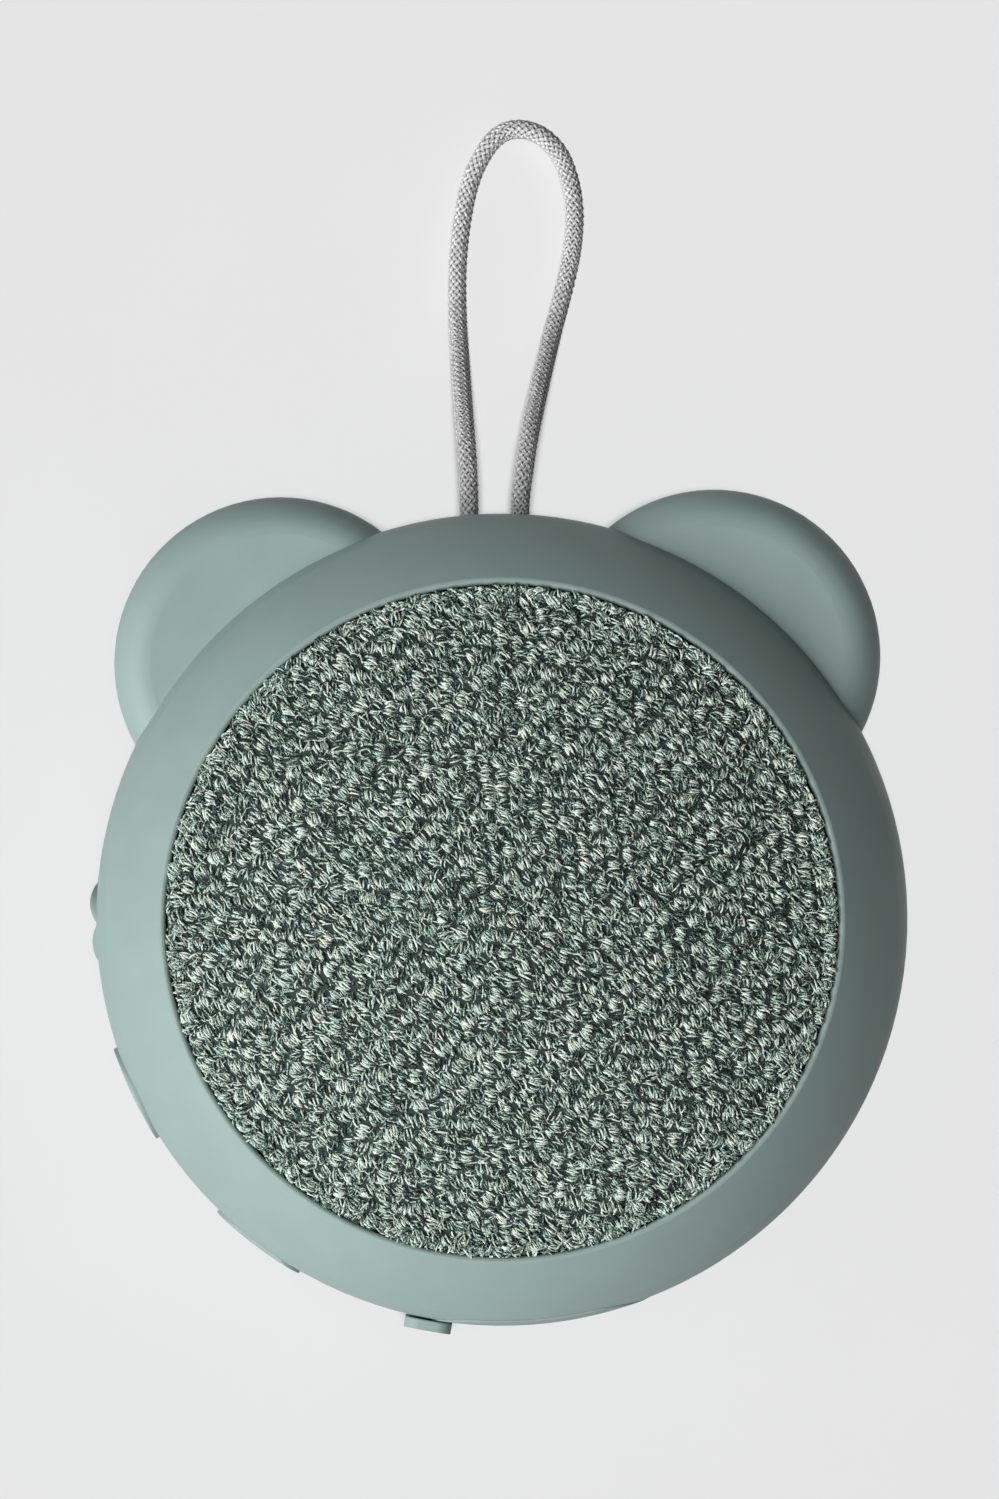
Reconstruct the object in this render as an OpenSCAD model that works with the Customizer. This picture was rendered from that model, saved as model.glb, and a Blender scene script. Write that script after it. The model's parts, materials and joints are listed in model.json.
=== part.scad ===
// Round children's loudspeaker with two rounded ears, a domed cloth front and a hanging loop.
// It lies on its back. Z points out of the cloth, and Y points from the centre towards the loop.
// The origin is the middle of the base pad, on the surface that the speaker lies on.

/* [Body] */
// Largest diameter of the round body
body_d = 87; // [85:0.5:89]
// Thickness of the moulded walls
wall = 2.2; // [2:0.1:2.4]
// Height of the straight band round the side
band_h = 10; // [9.5:0.5:11]
// Radius of the rounded back edge
back_r = 13; // [12.5:0.5:14]
// Width of the plain ring round the cloth
ring_w = 7.8; // [7.4:0.1:8.2]
// Radius of the roll from the side band into the ring
shoulder_r = 9; // [8.6:0.2:9.4]
// Radius of the ring's face in section
face_r = 24; // [22:1:26]
// Slope where the roll meets the ring's face, in degrees
join_slope = 62; // [60:1:64]
// Radius of the ring's inner lip
lip_round = 0.5; // [0.3:0.1:0.6]

/* [Ears] */
// Radius of each ear
ear_r = 17.85; // [17:0.25:18.5]
// Distance from the body's axis to the centre of an ear
ear_off = 36.3; // [35.5:0.1:37]
// Angle of each ear from the top, in degrees
ear_deg = 39.9; // [38:0.5:42]
// Thickness of each ear
ear_t = 15; // [14:0.5:15.5]
// Rounding of the ears' edges
ear_round = 4; // [3.5:0.25:4.5]
// Height of the ears' front above the side band
ear_rise = 2.5; // [2.2:0.1:2.8]

/* [Cloth front] */
// Rise of the cloth dome
dome_h = 6; // [5:0.25:6.5]
// Thickness of the cloth
cloth_t = 0.8; // [0.6:0.1:0.9]
// Depth of the cloth's edge below the lip
cloth_drop = 0.5; // [0.3:0.1:0.7]
// Gap between the cloth and the ring
cloth_gap = 0.2; // [0.15:0.05:0.3]
// Thickness of the perforated plate
plate_t = 1; // [0.8:0.1:1.2]
// Diameter of each sound hole
sound_hole_d = 3; // [2.6:0.2:3.2]
// Distance between the rings of sound holes
sound_hole_pitch = 5; // [4.8:0.1:5.2]

/* [Driver] */
// Outer diameter of the driver's flange
driver_d = 53; // [51:0.5:54]
// Radius of the ring magnet
magnet_r = 16; // [15.5:0.25:16.5]
// Height of the ring magnet
magnet_h = 4; // [3.5:0.25:4.25]
// Radius of the voice coil former
coil_r = 7.25; // [7:0.05:7.4]
// Furthest that the cone moves each way
cone_travel = 1.5; // [1:0.1:1.5]

/* [Controls] */
// Direction of the volume rocker, in degrees
rocker_deg = 179.5; // [178:0.5:180.5]
// Width of the volume rocker along the rim
rocker_w = 8.4; // [7.9:0.1:8.9]
// Direction of the play button, in degrees
play_deg = 204.5; // [203:0.5:206]
// Diameter of the play button
play_d = 10.7; // [10.2:0.1:10.9]
// Direction of the mode button, in degrees
mode_deg = 232; // [231:0.5:233.5]
// Width of the mode button along the rim
mode_w = 11; // [10.5:0.1:11.5]
// Height of the mode button
mode_h = 5.6; // [5.2:0.1:6]
// Gap round each button
button_gap = 0.25; // [0.2:0.05:0.3]
// Travel of the two push buttons
travel = 0.4; // [0.3:0.05:0.4]
// How far the play button stands proud
play_proud = 0.5; // [0.4:0.05:0.6]
// How far the mode button stands proud
mode_proud = 0.42; // [0.3:0.03:0.48]
// How far the higher lobe of the rocker stands proud
rocker_proud = 0.65; // [0.55:0.05:0.75]

/* [Ports] */
// Direction of the port flap's middle, in degrees
port_deg = 274.5; // [274:0.25:275.5]
// Length of the port flap along the rim
flap_w = 24; // [23.4:0.1:24.4]
// Height of the port flap
flap_h = 12.3; // [11.9:0.1:12.5]
// Thickness of the port flap
flap_t = 1.15; // [1:0.05:1.2]
// How far the pull tab stands proud
tab_proud = 1.36; // [1.2:0.04:1.44]
// Width of the pull tab along the rim
tab_w = 4.9; // [4.5:0.1:5.2]
// How far the pull tab reaches past the flap's free end
tab_over = 2.3; // [2:0.1:2.5]
// Bore of the audio socket
audio_bore_d = 3.6; // [3.55:0.01:3.65]
// Distance between the two sockets
socket_pitch = 9.6; // [9.4:0.1:9.9]

/* [Battery and board] */
// Length of the battery cell
cell_l = 50; // [47:0.5:51]
// Width of the battery cell
cell_w = 34; // [31:0.5:34.5]
// Thickness of the battery cell
cell_t = 5.4; // [5:0.1:5.6]
// Thickness of the circuit boards
board_t = 1.6; // [1.4:0.1:1.8]

/* [Hanging loop] */
// Diameter of the braided cord
cord_d = 2; // [1.8:0.1:2.1]
// Distance between the two cord holes
cord_pitch = 5.5; // [5.3:0.1:5.7]
// Height of the cord holes above the table
cord_z = 17; // [16.8:0.1:17.2]

/* [Base] */
// Height of the pad below the back
pad_proud = 1; // [0.8:0.1:1.2]
// Depth of the pad's recess
pad_recess = 0.6; // [0.5:0.05:0.7]

/* [Hidden] */
$fn = 96;

// General clearances
fit = 0.1;
slack = 0.3;
far = 100;

// Body levels and centres
body_r = body_d / 2;
back_z = pad_proud;
seam_z = back_z + back_r;
band_top = seam_z + band_h;
inner_r = body_r - wall;
opening_r = body_r - ring_w;
roll_c = [body_r - shoulder_r, band_top];
slope_dir = [sin(join_slope), cos(join_slope)];
face_c = roll_c - (face_r - shoulder_r) * slope_dir;
function face_z(r, inset = 0) = face_c[1] + sqrt(pow(face_r - inset, 2) - pow(r - face_c[0], 2));
lip_z = face_z(opening_r);
// Radius of the wall's inner side at a height above the band
function inner_r_at(z) = z <= band_top ? inner_r
    : roll_c[0] + sqrt(pow(shoulder_r - wall, 2) - pow(z - band_top, 2));
ear_top = band_top + ear_rise;
ear_base = ear_top - ear_t;

// Cloth front
seat_drop = 4.6;
seat_z = lip_z - seat_drop;
seat_w = 4.7;
ledge_t = 2;
chamber_r = opening_r - seat_w;
tube_t = 2;
cloth_r = opening_r - cloth_gap;
dome_edge_z = lip_z - cloth_drop;
dome_r = (pow(cloth_r, 2) + pow(dome_h, 2)) / (2 * dome_h);
dome_c = dome_edge_z + dome_h - dome_r;
grille_ring_t = 0.3;
plate_rim_w = 2.4;
sound_rings = 6;

// Baffle and driver, from the flange down
baffle_t = 2.5;
baffle_z = seat_z - 3;
baffle_base = baffle_z - baffle_t;
driver_r = driver_d / 2;
flange_w = 3.6;
cut_r = driver_r - flange_w;
gasket_t = 0.5;
flange_t = 1.2;
flange_z = baffle_z + gasket_t;
flange_top = flange_z + flange_t;
frame_t = 1;
frame_r = cut_r - 0.2;
roll_out = frame_r - frame_t;
surround_w = 4;
surround_t = 0.5;
cone_rim = roll_out - surround_w;
cone_t = 0.6;
frame_drop = 10.1;
foot_z = flange_z - frame_drop;
foot_t = 1.1;
foot_r = magnet_r + 0.2;
top_plate_h = 2.5;
top_plate_r = magnet_r - 1.5;
magnet_z = foot_z - top_plate_h - magnet_h;
yoke_t = 2;
yoke_z = magnet_z - yoke_t;
coil_gap = 0.4;
coil_t = 0.35;
winding_t = 0.35;
pole_r = coil_r - coil_t - coil_gap;
gap_r = coil_r + winding_t + coil_gap;
coil_base = magnet_z + cone_travel + 0.7;
neck_z = flange_top - 5.6;
coil_top = neck_z + 0.3;
spider_z = foot_z + foot_t + 1.4;
spider_t = 0.4;
spider_r = foot_r + 0.3;
driver_screw_r = driver_r - 1.6;

// Screws that close the body
boss_r = 3;
boss_pitch_r = cut_r + boss_r + 1;
boss_degs = [50, 130, 230, 310];
boss_top = seam_z - 3;
screw_r = 1.3;
screw_head_r = 2.3;
screw_head_h = 1.8;

// Base pad
pad_t = pad_proud + pad_recess;
pad_r = body_r - back_r - 0.5;
pad_edge = 0.5;

// Controls, all on one level
side_z = band_top - 3.2;
flange_grow = 1;
flange_h = 1;
stem_r = 1.5;
switch_h = 2;
nub_r = 1;
nub_h = 0.5;
play_r = play_d / 2;
play_edge = 0.45;
play_crown = 50;
rocker_h = 6.8;
mode_inset = 1.2;
// Inner level of a button's flange, where it rests against the wall
function flange_x(r_y, r_z) = min(sqrt(pow(inner_r, 2) - pow(r_y, 2)), inner_r_at(side_z + r_z)) - slack;
play_flange_r = play_r + flange_grow;
play_stop = flange_x(play_flange_r, play_flange_r);
mode_stop = flange_x(mode_w / 2 + flange_grow, mode_h / 2 + flange_grow);
rocker_stop = flange_x(rocker_w / 2 + flange_grow, rocker_h / 2) - 0.2;
board_x = inner_r - 6.1;
switch_board_t = 0.8;
switch_top = board_x + switch_board_t + switch_h;
station_w = 9;
station_h = 9;
station_degs = [rocker_deg, play_deg, mode_deg];
bracket_r = board_x - 0.6;
bracket_t = 2;
bracket_degs = [rocker_deg - 9, mode_deg + 9];
bracket_screw_degs = [rocker_deg + 12.5, mode_deg - 13.5];
bracket_screw_r = bracket_r - bracket_t - 2.6;
small_screw_r = 0.9;
small_head_r = 1.8;
small_head_h = 1.2;
small_screw_l = 3.2;
rocker_pin_r = 0.8;
rocker_axis_r = rocker_stop - 0.2;

// Ports
pocket_gap = 0.25;
pocket_floor = flap_t;
flap_proud = 0.1;
usb_w = 8.94;
usb_h = 3.2;
usb_l = 7.3;
usb_shell = 0.32;
usb_y = -socket_pitch * 0.42;
audio_y = socket_pitch * 0.58;
audio_body = [11.5, 6.2, 5];
audio_nose_r = 2.9;
audio_depth = 13;
jack_r = inner_r - 1 - audio_body[0];
socket_reach = max(audio_y + audio_nose_r, usb_w / 2 - usb_y) + 0.05;
port_mouth = sqrt(pow(body_r - pocket_floor - fit, 2) - pow(socket_reach, 2));
plug_gap = 0.3;
usb_rim = 2 * (usb_shell + plug_gap);
tab_h = 7;
tab_t = 1.1;
tab_round = 1.6;
neck_h = 5;

// Main board
board_top = side_z - usb_h / 2 - 0.6;
usb_z = board_top + usb_h / 2;
board_z = board_top - board_t;
board_r = inner_r - 3;
// Place on the board, by its direction and its distance in from the board's edge
function on_board(deg, inward) = (board_r - inward) * [cos(deg), sin(deg)];
board_hole_r = magnet_r + 3.5;
board_cut_y = -7.8;
board_posts = [[-24, -12], [0, -26.5], [28.5, -10.8]];
post_r = 2.5;
// The amplifier stands just inside the audio jack
chip_at = [8.6, 1.6 - jack_r];

// Sockets for the two leads
speaker_socket_at = on_board(326.3, 7.65);
battery_socket_at = on_board(318.5, 3.7);
socket_h = 4.2;
socket_l = 6;
socket_pocket = 1.5;

// Battery, lifted until its corners clear the rounded edge of the back
floor_z = back_z + wall;
cell_reach = max(0, norm([cell_l, cell_w]) / 2 - (body_r - back_r));
cell_rise = back_r - wall - sqrt(pow(back_r - wall, 2) - pow(cell_reach, 2));
cell_gap = max(0.4, cell_rise + fit);
cell_z = floor_z + cell_gap;
tray_t = 1.2;
tray_h = 3;

// Light
light_deg = 250;
light_r = 1;

// Hanging loop: the cord's points, from one end behind the wall round to the other
cord_r = cord_d / 2;
cord_hole_r = cord_r + 0.3;
cord_x = cord_pitch / 2;
crimp_y = inner_r - 0.4;
crimp_size = [10, 3.4, 3.4];
cord_path = [[-cord_x, crimp_y, cord_z], [-cord_x, 44.5, cord_z], [-2.8, 48, 16.6],
    [-2.95, 51.5, 14.7], [-3.15, 54.5, 11.9], [-3.3, 57.5, 8.5], [-3.45, 60.5, 5.2],
    [-3.6, 63.5, 2.7], [-3.65, 67, 1.4], [-3.5, 71, 1.1], [-3, 75, 1.1], [-2.1, 79, 1.1],
    [-0.6, 82.3, 1.1], [1.2, 84.3, 1.1], [3.35, 84.9, 1.1], [5.6, 84.2, 1.1],
    [7.5, 82.3, 1.1], [8.6, 79.6, 1.1], [9.1, 76.2, 1.1], [8.9, 72.5, 1.1],
    [8.2, 69, 1.2], [7.4, 66, 1.6], [6.6, 63.2, 2.9], [5.9, 60.5, 5.2], [5.15, 57.5, 8.5],
    [4.45, 54.5, 11.9], [3.8, 51.5, 14.7], [3.2, 48, 16.6], [cord_x, 44.5, cord_z],
    [cord_x, crimp_y, cord_z]];

// Wire routes inside the body
wire_r = 0.55;

function unit(v) = v / norm(v);
function direction(path, i) = unit(path[min(i + 1, len(path) - 1)] - path[max(i - 1, 0)]);
function side_of(d) = unit(cross(d, [0, 0, 1]));
function around(k, sides, s, u) = let (a = 360 * (k + 0.5) / sides) cos(a) * s + sin(a) * u;
function ring_at(path, i, r, sides) = let (d = direction(path, i), s = side_of(d), u = cross(s, d))
    [for (k = [0:sides - 1]) path[i] + r * around(k, sides, s, u)];

// Round tube swept along a list of points, closed at both ends
module tube(path, r, sides = 8) {
    rings = len(path);
    points = [for (i = [0:rings - 1]) each ring_at(path, i, r, sides)];
    skin = [for (i = [0:rings - 2], k = [0:sides - 1])
        let (a = i * sides + k, b = i * sides + (k + 1) % sides)
        each [[a, b, b + sides], [a, b + sides, a + sides]]];
    ends = [[for (k = [0:sides - 1]) sides - 1 - k], [for (k = [0:sides - 1]) (rings - 1) * sides + k]];
    polyhedron(points, concat(skin, ends));
}

// Turns its children to a direction round the rim: X then points outwards
module at_side(deg) {
    rotate([0, 0, deg]) children();
}

// Bar with round ends, along X from x0 to x1, its length across the rim
module pill(x0, x1, length, height) {
    r = height / 2;
    reach = length / 2 - r;
    for (s = [-1, 1]) translate([x0, s * reach, 0]) rotate([0, 90, 0]) cylinder(r = r, h = x1 - x0);
    translate([x0, -reach, -r]) cube([x1 - x0, 2 * reach, height]);
}

// Cylinder along X
module rod(x0, x1, r) {
    translate([x0, 0, 0]) rotate([0, 90, 0]) cylinder(r = r, h = x1 - x0);
}

// Half section of a round disc with rounded edges
module disc_section(r, z0, z1, edge) {
    translate([0, z0 + edge]) square([r, z1 - z0 - 2 * edge]);
    translate([0, z0]) square([r - edge, z1 - z0]);
    for (z = [z0 + edge, z1 - edge]) translate([r - edge, z]) circle(edge, $fn = 24);
}

// Half section of the body, its skin moved inwards by inset
module body_section(inset) {
    reach = 2 * face_r;
    translate([0, seam_z]) square([body_r - inset, band_h]);
    intersection() {
        translate(roll_c) circle(shoulder_r - inset, $fn = 48);
        polygon([roll_c, roll_c + 2 * shoulder_r * [1, 0], roll_c + 2 * shoulder_r * slope_dir]);
    }
    intersection() {
        translate(face_c) circle(face_r - inset, $fn = 90);
        polygon([face_c, face_c + reach * slope_dir, face_c + [0, reach]]);
    }
    translate([0, seam_z]) square([face_c[0], face_c[1] + face_r - inset - seam_z]);
    intersection() {
        translate([body_r - back_r, seam_z]) circle(back_r - inset, $fn = 48);
        translate([body_r - back_r, back_z]) square(back_r);
    }
    translate([0, back_z + inset]) square([body_r - back_r, back_r - inset]);
}

// Everything inside the body's skin and the two ears, moved inwards by inset
module body_form(inset) {
    rotate_extrude($fn = 60) body_section(inset);
}

module at_ears() {
    for (s = [-1, 1]) rotate([0, 0, 90 + s * ear_deg]) translate([ear_off, 0, 0]) children();
}

module ear_forms(inset) {
    at_ears() rotate_extrude($fn = 44)
        disc_section(ear_r - inset, ear_base + inset, ear_top - inset, ear_round - inset);
}

// Flat outline of the body and its ears at the seam
module seam_outline(inset) {
    circle(body_r - inset);
    for (s = [-1, 1]) rotate(90 + s * ear_deg) translate([ear_off, 0]) circle(ear_r - inset - fit);
}

module slab(z0, z1) {
    translate([-far, -far, z0]) cube([2 * far, 2 * far, z1 - z0]);
}

// Ring between two radii and two levels
module ring(r0, r1, z0, z1) {
    translate([0, 0, z0]) linear_extrude(z1 - z0) difference() {
        circle(r1);
        circle(r0);
    }
}

// Section of the opening in the ring, with its rounded lip
module opening_section() {
    lip_c = [opening_r + lip_round, face_z(opening_r + lip_round, lip_round)];
    round_over = [for (a = [180:-30:60]) lip_c + lip_round * [cos(a), sin(a)]];
    polygon(concat([[0, far], [0, seat_z], [opening_r, seat_z]], round_over,
        [lip_c + 1.4 * lip_round * [1, 0.3], lip_c + [1.4 * lip_round, far]]));
}

// Section of the ledge, chamber wall and baffle that carry the grille and the driver
module frame_section() {
    translate([chamber_r, seat_z - ledge_t]) square([opening_r + 2.4 - chamber_r, ledge_t]);
    translate([opening_r, seat_z - ledge_t]) square([2, lip_z - 2.4 - seat_z + ledge_t]);
    translate([chamber_r, baffle_base]) square([tube_t, seat_z - baffle_base]);
    translate([cut_r, baffle_base]) square([chamber_r + tube_t - cut_r, baffle_t]);
}

// Section of the front half of the moulded shell
module front_section() {
    difference() {
        union() {
            difference() {
                body_section(0);
                body_section(wall);
            }
            frame_section();
        }
        square([far, seam_z]);
        opening_section();
    }
}

// Ear walls outside the round body, above or below the seam
module ear_walls(z0, z1) {
    difference() {
        intersection() {
            ear_forms(0);
            slab(z0, z1);
        }
        ear_forms(wall);
        translate([0, 0, -1]) cylinder(r = body_r - 0.4, h = band_top + 0.6);
        rotate_extrude() body_section(0.4);
    }
}

// Bosses for the body's screws and posts for the board
module front_posts() {
    for (a = boss_degs) rotate(a) translate([boss_pitch_r, 0, boss_top + fit])
        cylinder(r = boss_r, h = baffle_base - boss_top - fit + 1);
    for (p = board_posts) translate([p[0], p[1], board_top])
        cylinder(r = post_r, h = baffle_base - board_top + 1);
}

// Port bay's solid wall behind the sockets' mouths
module port_holes() {
    at_side(port_deg) translate([0, 0, side_z]) {
        difference() {
            pill(inner_r - 4, far, flap_w + 2 * pocket_gap, flap_h + 2 * pocket_gap);
            translate([0, 0, -side_z]) rotate(-port_deg) body_form(pocket_floor + fit);
        }
        translate([0, usb_y, usb_z - side_z]) pill(inner_r - 4, far, usb_w + 2 * slack, usb_h + 2 * slack);
        translate([0, audio_y, 0]) rod(inner_r - 4, far, audio_nose_r + fit);
    }
}

module button_holes() {
    at_side(play_deg) translate([0, 0, side_z]) rod(inner_r - 4, far, play_r + button_gap);
    at_side(mode_deg) translate([0, 0, side_z])
        pill(inner_r - 4, far, mode_w + 2 * button_gap, mode_h + 2 * button_gap);
    at_side(rocker_deg) translate([0, 0, side_z])
        pill(inner_r - 4, far, rocker_w + 2 * button_gap, rocker_h + 2 * button_gap);
}

module front_housing() {
    $fn = 32;
    color("#8ca29c") difference() {
        union() {
            rotate_extrude($fn = 60) front_section();
            ear_walls(seam_z, far);
            front_posts();
        }
        port_holes();
        button_holes();
        for (s = [-1, 1]) translate([s * cord_x, inner_r - 2, cord_z]) rotate([-90, 0, 0])
            cylinder(r = cord_hole_r, h = wall + 4);
        at_side(light_deg) translate([0, 0, side_z - 1]) rod(inner_r - 2, far, light_r + fit);
        for (a = boss_degs) rotate(a) translate([boss_pitch_r, 0, boss_top])
            cylinder(r = screw_r + 0.05, h = 7);
        for (a = [0:90:270]) rotate(a) translate([driver_screw_r, 0, baffle_base - 1])
            cylinder(r = small_screw_r + 0.05, h = baffle_t + 2);
        for (p = board_posts) translate([p[0], p[1], board_top - 1])
            cylinder(r = small_screw_r + 0.05, h = 5);
        for (a = bracket_screw_degs) rotate(a) translate([bracket_screw_r, 0, baffle_base - 1])
            cylinder(r = small_screw_r + 0.05, h = 3);
    }
}

// Upstanding lip of the rear cover, which slips inside the front housing
module tongue() {
    difference() {
        ring(inner_r - fit - 1.1, inner_r - fit, seam_z - 1.5, seam_z + 1.2);
        at_side(play_deg) translate([0, 0, side_z]) rod(inner_r - 5, far, play_flange_r + slack);
    }
}

module rear_cover() {
    color("#84998f") difference() {
        union() {
            rotate_extrude() difference() {
                body_section(0);
                body_section(wall);
                translate([0, seam_z]) square(far);
            }
            ear_walls(0, seam_z);
            tongue();
            for (a = boss_degs) rotate(a) translate([boss_pitch_r, 0, floor_z - 1])
                cylinder(r = boss_r, h = boss_top - floor_z + 1);
            translate([0, 0, floor_z - 1]) linear_extrude(tray_h + 1) difference() {
                square([cell_l + 2 * (slack + tray_t), cell_w + 2 * (slack + tray_t)], center = true);
                square([cell_l + 2 * slack, cell_w + 2 * slack], center = true);
                square([far, cell_w - 12], center = true);
            }
        }
        translate([0, 0, seam_z - 0.6]) linear_extrude(1) difference() {
            seam_outline(0.7);
            seam_outline(1.5);
        }
        translate([0, 0, -1]) cylinder(r = pad_r + fit, h = pad_recess + back_z + 1);
        for (a = boss_degs) rotate(a) translate([boss_pitch_r, 0, 0]) {
            cylinder(r = screw_r + 0.2, h = far);
            cylinder(r = screw_head_r + 0.2, h = pad_t + screw_head_h + 0.2);
        }
    }
}

module seal_ring() {
    color("#3c4442") translate([0, 0, seam_z - 0.6]) linear_extrude(0.6) difference() {
        seam_outline(0.75);
        seam_outline(1.45);
    }
}

module base_pad() {
    color("#59635f") rotate_extrude() {
        translate([0, pad_edge]) square([pad_r, pad_t - pad_edge]);
        square([pad_r - pad_edge, pad_t]);
        translate([pad_r - pad_edge, pad_edge]) circle(pad_edge);
    }
}

// Pan head screw that points up, its head's base at the origin
module screw(head_r, head_h, shank_r, length) {
    difference() {
        union() {
            cylinder(r = head_r, h = head_h);
            cylinder(r = shank_r, h = head_h + length);
        }
        for (a = [0, 90]) rotate(a) translate([-head_r * 0.6, -0.25, -1])
            cube([head_r * 1.2, 0.5, 1 + head_h * 0.5]);
    }
}

module housing_screws() {
    color("silver") for (a = boss_degs) rotate(a) translate([boss_pitch_r, 0, pad_t + fit])
        screw(screw_head_r, screw_head_h, screw_r, boss_top + 5 - pad_t - screw_head_h);
}

// Section of everything below a dome that is parallel to the cloth
module dome_section(inset, r, z0) {
    intersection() {
        translate([0, dome_c]) circle(dome_r - inset, $fn = 720);
        translate([0, z0]) square([r, far]);
    }
}

module grille_fabric() {
    color("#76857c") rotate_extrude() difference() {
        dome_section(0, cloth_r, seat_z + grille_ring_t);
        dome_section(cloth_t, cloth_r - cloth_t, 0);
    }
}

module sound_holes() {
    circle(sound_hole_d / 2, $fn = 32);
    for (n = [1:sound_rings], k = [0:6 * n - 1]) rotate(60 * k / n + 15 * n)
        translate([n * sound_hole_pitch, 0]) circle(sound_hole_d / 2, $fn = 32);
}

module grille_plate() {
    under = cloth_t + 0.05;
    color("#2b3033") difference() {
        rotate_extrude() difference() {
            dome_section(under, cloth_r - under, seat_z + grille_ring_t);
            dome_section(under + plate_t, cloth_r - under - plate_rim_w, 0);
        }
        translate([0, 0, seat_z]) linear_extrude(far) sound_holes();
    }
}

module grille_ring() {
    color("#1d2022") ring(chamber_r + 0.6, cloth_r, seat_z, seat_z + grille_ring_t);
}

// Pressed driver frame: flange, sloping wall with six windows, spider step and foot
module driver_basket() {
    color("#3b3f42") difference() {
        rotate_extrude() polygon([[gap_r, foot_z], [foot_r, foot_z], [foot_r, foot_z + foot_t],
            [frame_r, flange_z - 2.6], [frame_r, flange_z], [driver_r, flange_z], [driver_r, flange_top],
            [roll_out, flange_top], [roll_out, flange_z - 2.2], [spider_r + 0.8, spider_z],
            [spider_r - 1.6, spider_z], [spider_r - 1.6, foot_z + foot_t], [gap_r, foot_z + foot_t]]);
        for (a = [0:60:300]) rotate(a - 20) translate([0, 0, spider_z + 0.6])
            rotate_extrude(angle = 40) translate([spider_r - 2, 0])
                square([frame_r, flange_z - 3 - spider_z - 0.6]);
        for (a = [0:90:270]) rotate(a) translate([driver_screw_r, 0, flange_z - 1])
            cylinder(r = small_screw_r + slack, h = flange_t + 2);
    }
}

module driver_gasket() {
    color("#17191a") difference() {
        ring(cut_r + 0.2, driver_r, baffle_z, flange_z);
        for (a = [0:90:270]) rotate(a) translate([driver_screw_r, 0, baffle_z - 1])
            cylinder(r = small_screw_r + slack, h = 3);
    }
}

module driver_screws() {
    color("silver") for (a = [0:90:270]) rotate(a)
        translate([driver_screw_r, 0, flange_top + small_head_h]) mirror([0, 0, 1])
            screw(small_head_r - 0.2, small_head_h, small_screw_r, small_screw_l);
}

module driver_terminals() {
    color("#b08d3c") rotate(330) {
        translate([top_plate_r + fit, -4.5, foot_z - 0.8]) cube([4.2, 9, 0.8]);
        for (y = [-2.2, 2.2]) translate([foot_r + fit, y - 0.9, foot_z]) cube([2.4, 1.8, 0.4]);
    }
}

module top_plate() {
    color("#9aa0a3") ring(gap_r, top_plate_r, foot_z - top_plate_h, foot_z);
}

module magnet() {
    color("#26292b") ring(gap_r + 1.5, magnet_r, magnet_z, magnet_z + magnet_h);
}

module yoke() {
    color("#9aa0a3") difference() {
        union() {
            translate([0, 0, yoke_z]) cylinder(r = magnet_r - 1, h = yoke_t);
            translate([0, 0, yoke_z]) cylinder(r = pole_r, h = foot_z - yoke_z);
        }
        translate([0, 0, yoke_z - 1]) cylinder(r = 1.5, h = far);
    }
}

// Corrugated ring that centres the voice coil
module spider() {
    waves = 4;
    start = coil_r;
    end = spider_r;
    function wave_z(r) = spider_z + 0.45 * (1 - cos(360 * waves * (r - start) / (end - start)));
    steps = 32;
    radii = [for (i = [0:steps]) start + (end - start) * i / steps];
    color("#c9a24a") rotate_extrude() polygon(concat([for (r = radii) [r, wave_z(r)]],
        [for (i = [steps:-1:0]) [radii[i], wave_z(radii[i]) + spider_t]]));
}

module surround() {
    roll_r = surround_w / 2;
    roll_x = roll_out - roll_r;
    color("#1b1d1e") rotate_extrude() {
        intersection() {
            translate([roll_x, flange_top]) difference() {
                circle(roll_r + surround_t / 2);
                circle(roll_r - surround_t / 2);
            }
            translate([0, flange_top]) square(far);
        }
        translate([roll_out - surround_t / 2, flange_top]) square([1.5, surround_t]);
        translate([cone_rim - 1.4, flange_top]) square([1.4 + surround_t / 2, surround_t]);
    }
}

module cone() {
    color("#303335") rotate_extrude() polygon([[coil_r, neck_z], [cone_rim - 1.6, flange_top - cone_t],
        [cone_rim, flange_top - cone_t], [cone_rim, flange_top], [cone_rim - 1.8, flange_top],
        [coil_r, neck_z + cone_t]]);
}

module dust_cap() {
    cap_r = coil_r + 1.4;
    cap_h = 2.2;
    sphere_r = (pow(cap_r, 2) + pow(cap_h, 2)) / (2 * cap_h);
    cap_z = neck_z + 1.5;
    color("#1f2122") rotate_extrude() intersection() {
        translate([0, cap_z + cap_h - sphere_r]) difference() {
            circle(sphere_r);
            circle(sphere_r - 0.5);
        }
        translate([0, cap_z]) square([cap_r, cap_h]);
    }
}

module voice_coil() {
    color("#b4652e") {
        ring(coil_r - coil_t, coil_r, coil_base, coil_top);
        ring(coil_r, coil_r + winding_t, coil_base, coil_base + 5);
    }
}

// Crescent board round the magnet, open where the switch bracket stands
module main_board() {
    color("#1f5a3c") difference() {
        translate([0, 0, board_z]) linear_extrude(board_t) difference() {
            circle(board_r);
            circle(board_hole_r);
            translate([-far, board_cut_y]) square([2 * far, far]);
            difference() {
                polygon([[0, 0], far * [cos(mode_deg + 13), sin(mode_deg + 13)],
                    [-far, -far], [-far, 0]]);
                circle(bracket_screw_r + 2.4);
            }
            for (a = boss_degs) rotate(a) translate([boss_pitch_r, 0]) circle(boss_r + slack);
        }
        for (p = board_posts) translate([p[0], p[1], board_z - 1])
            cylinder(r = small_screw_r + slack, h = board_t + 2);
    }
}

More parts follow.
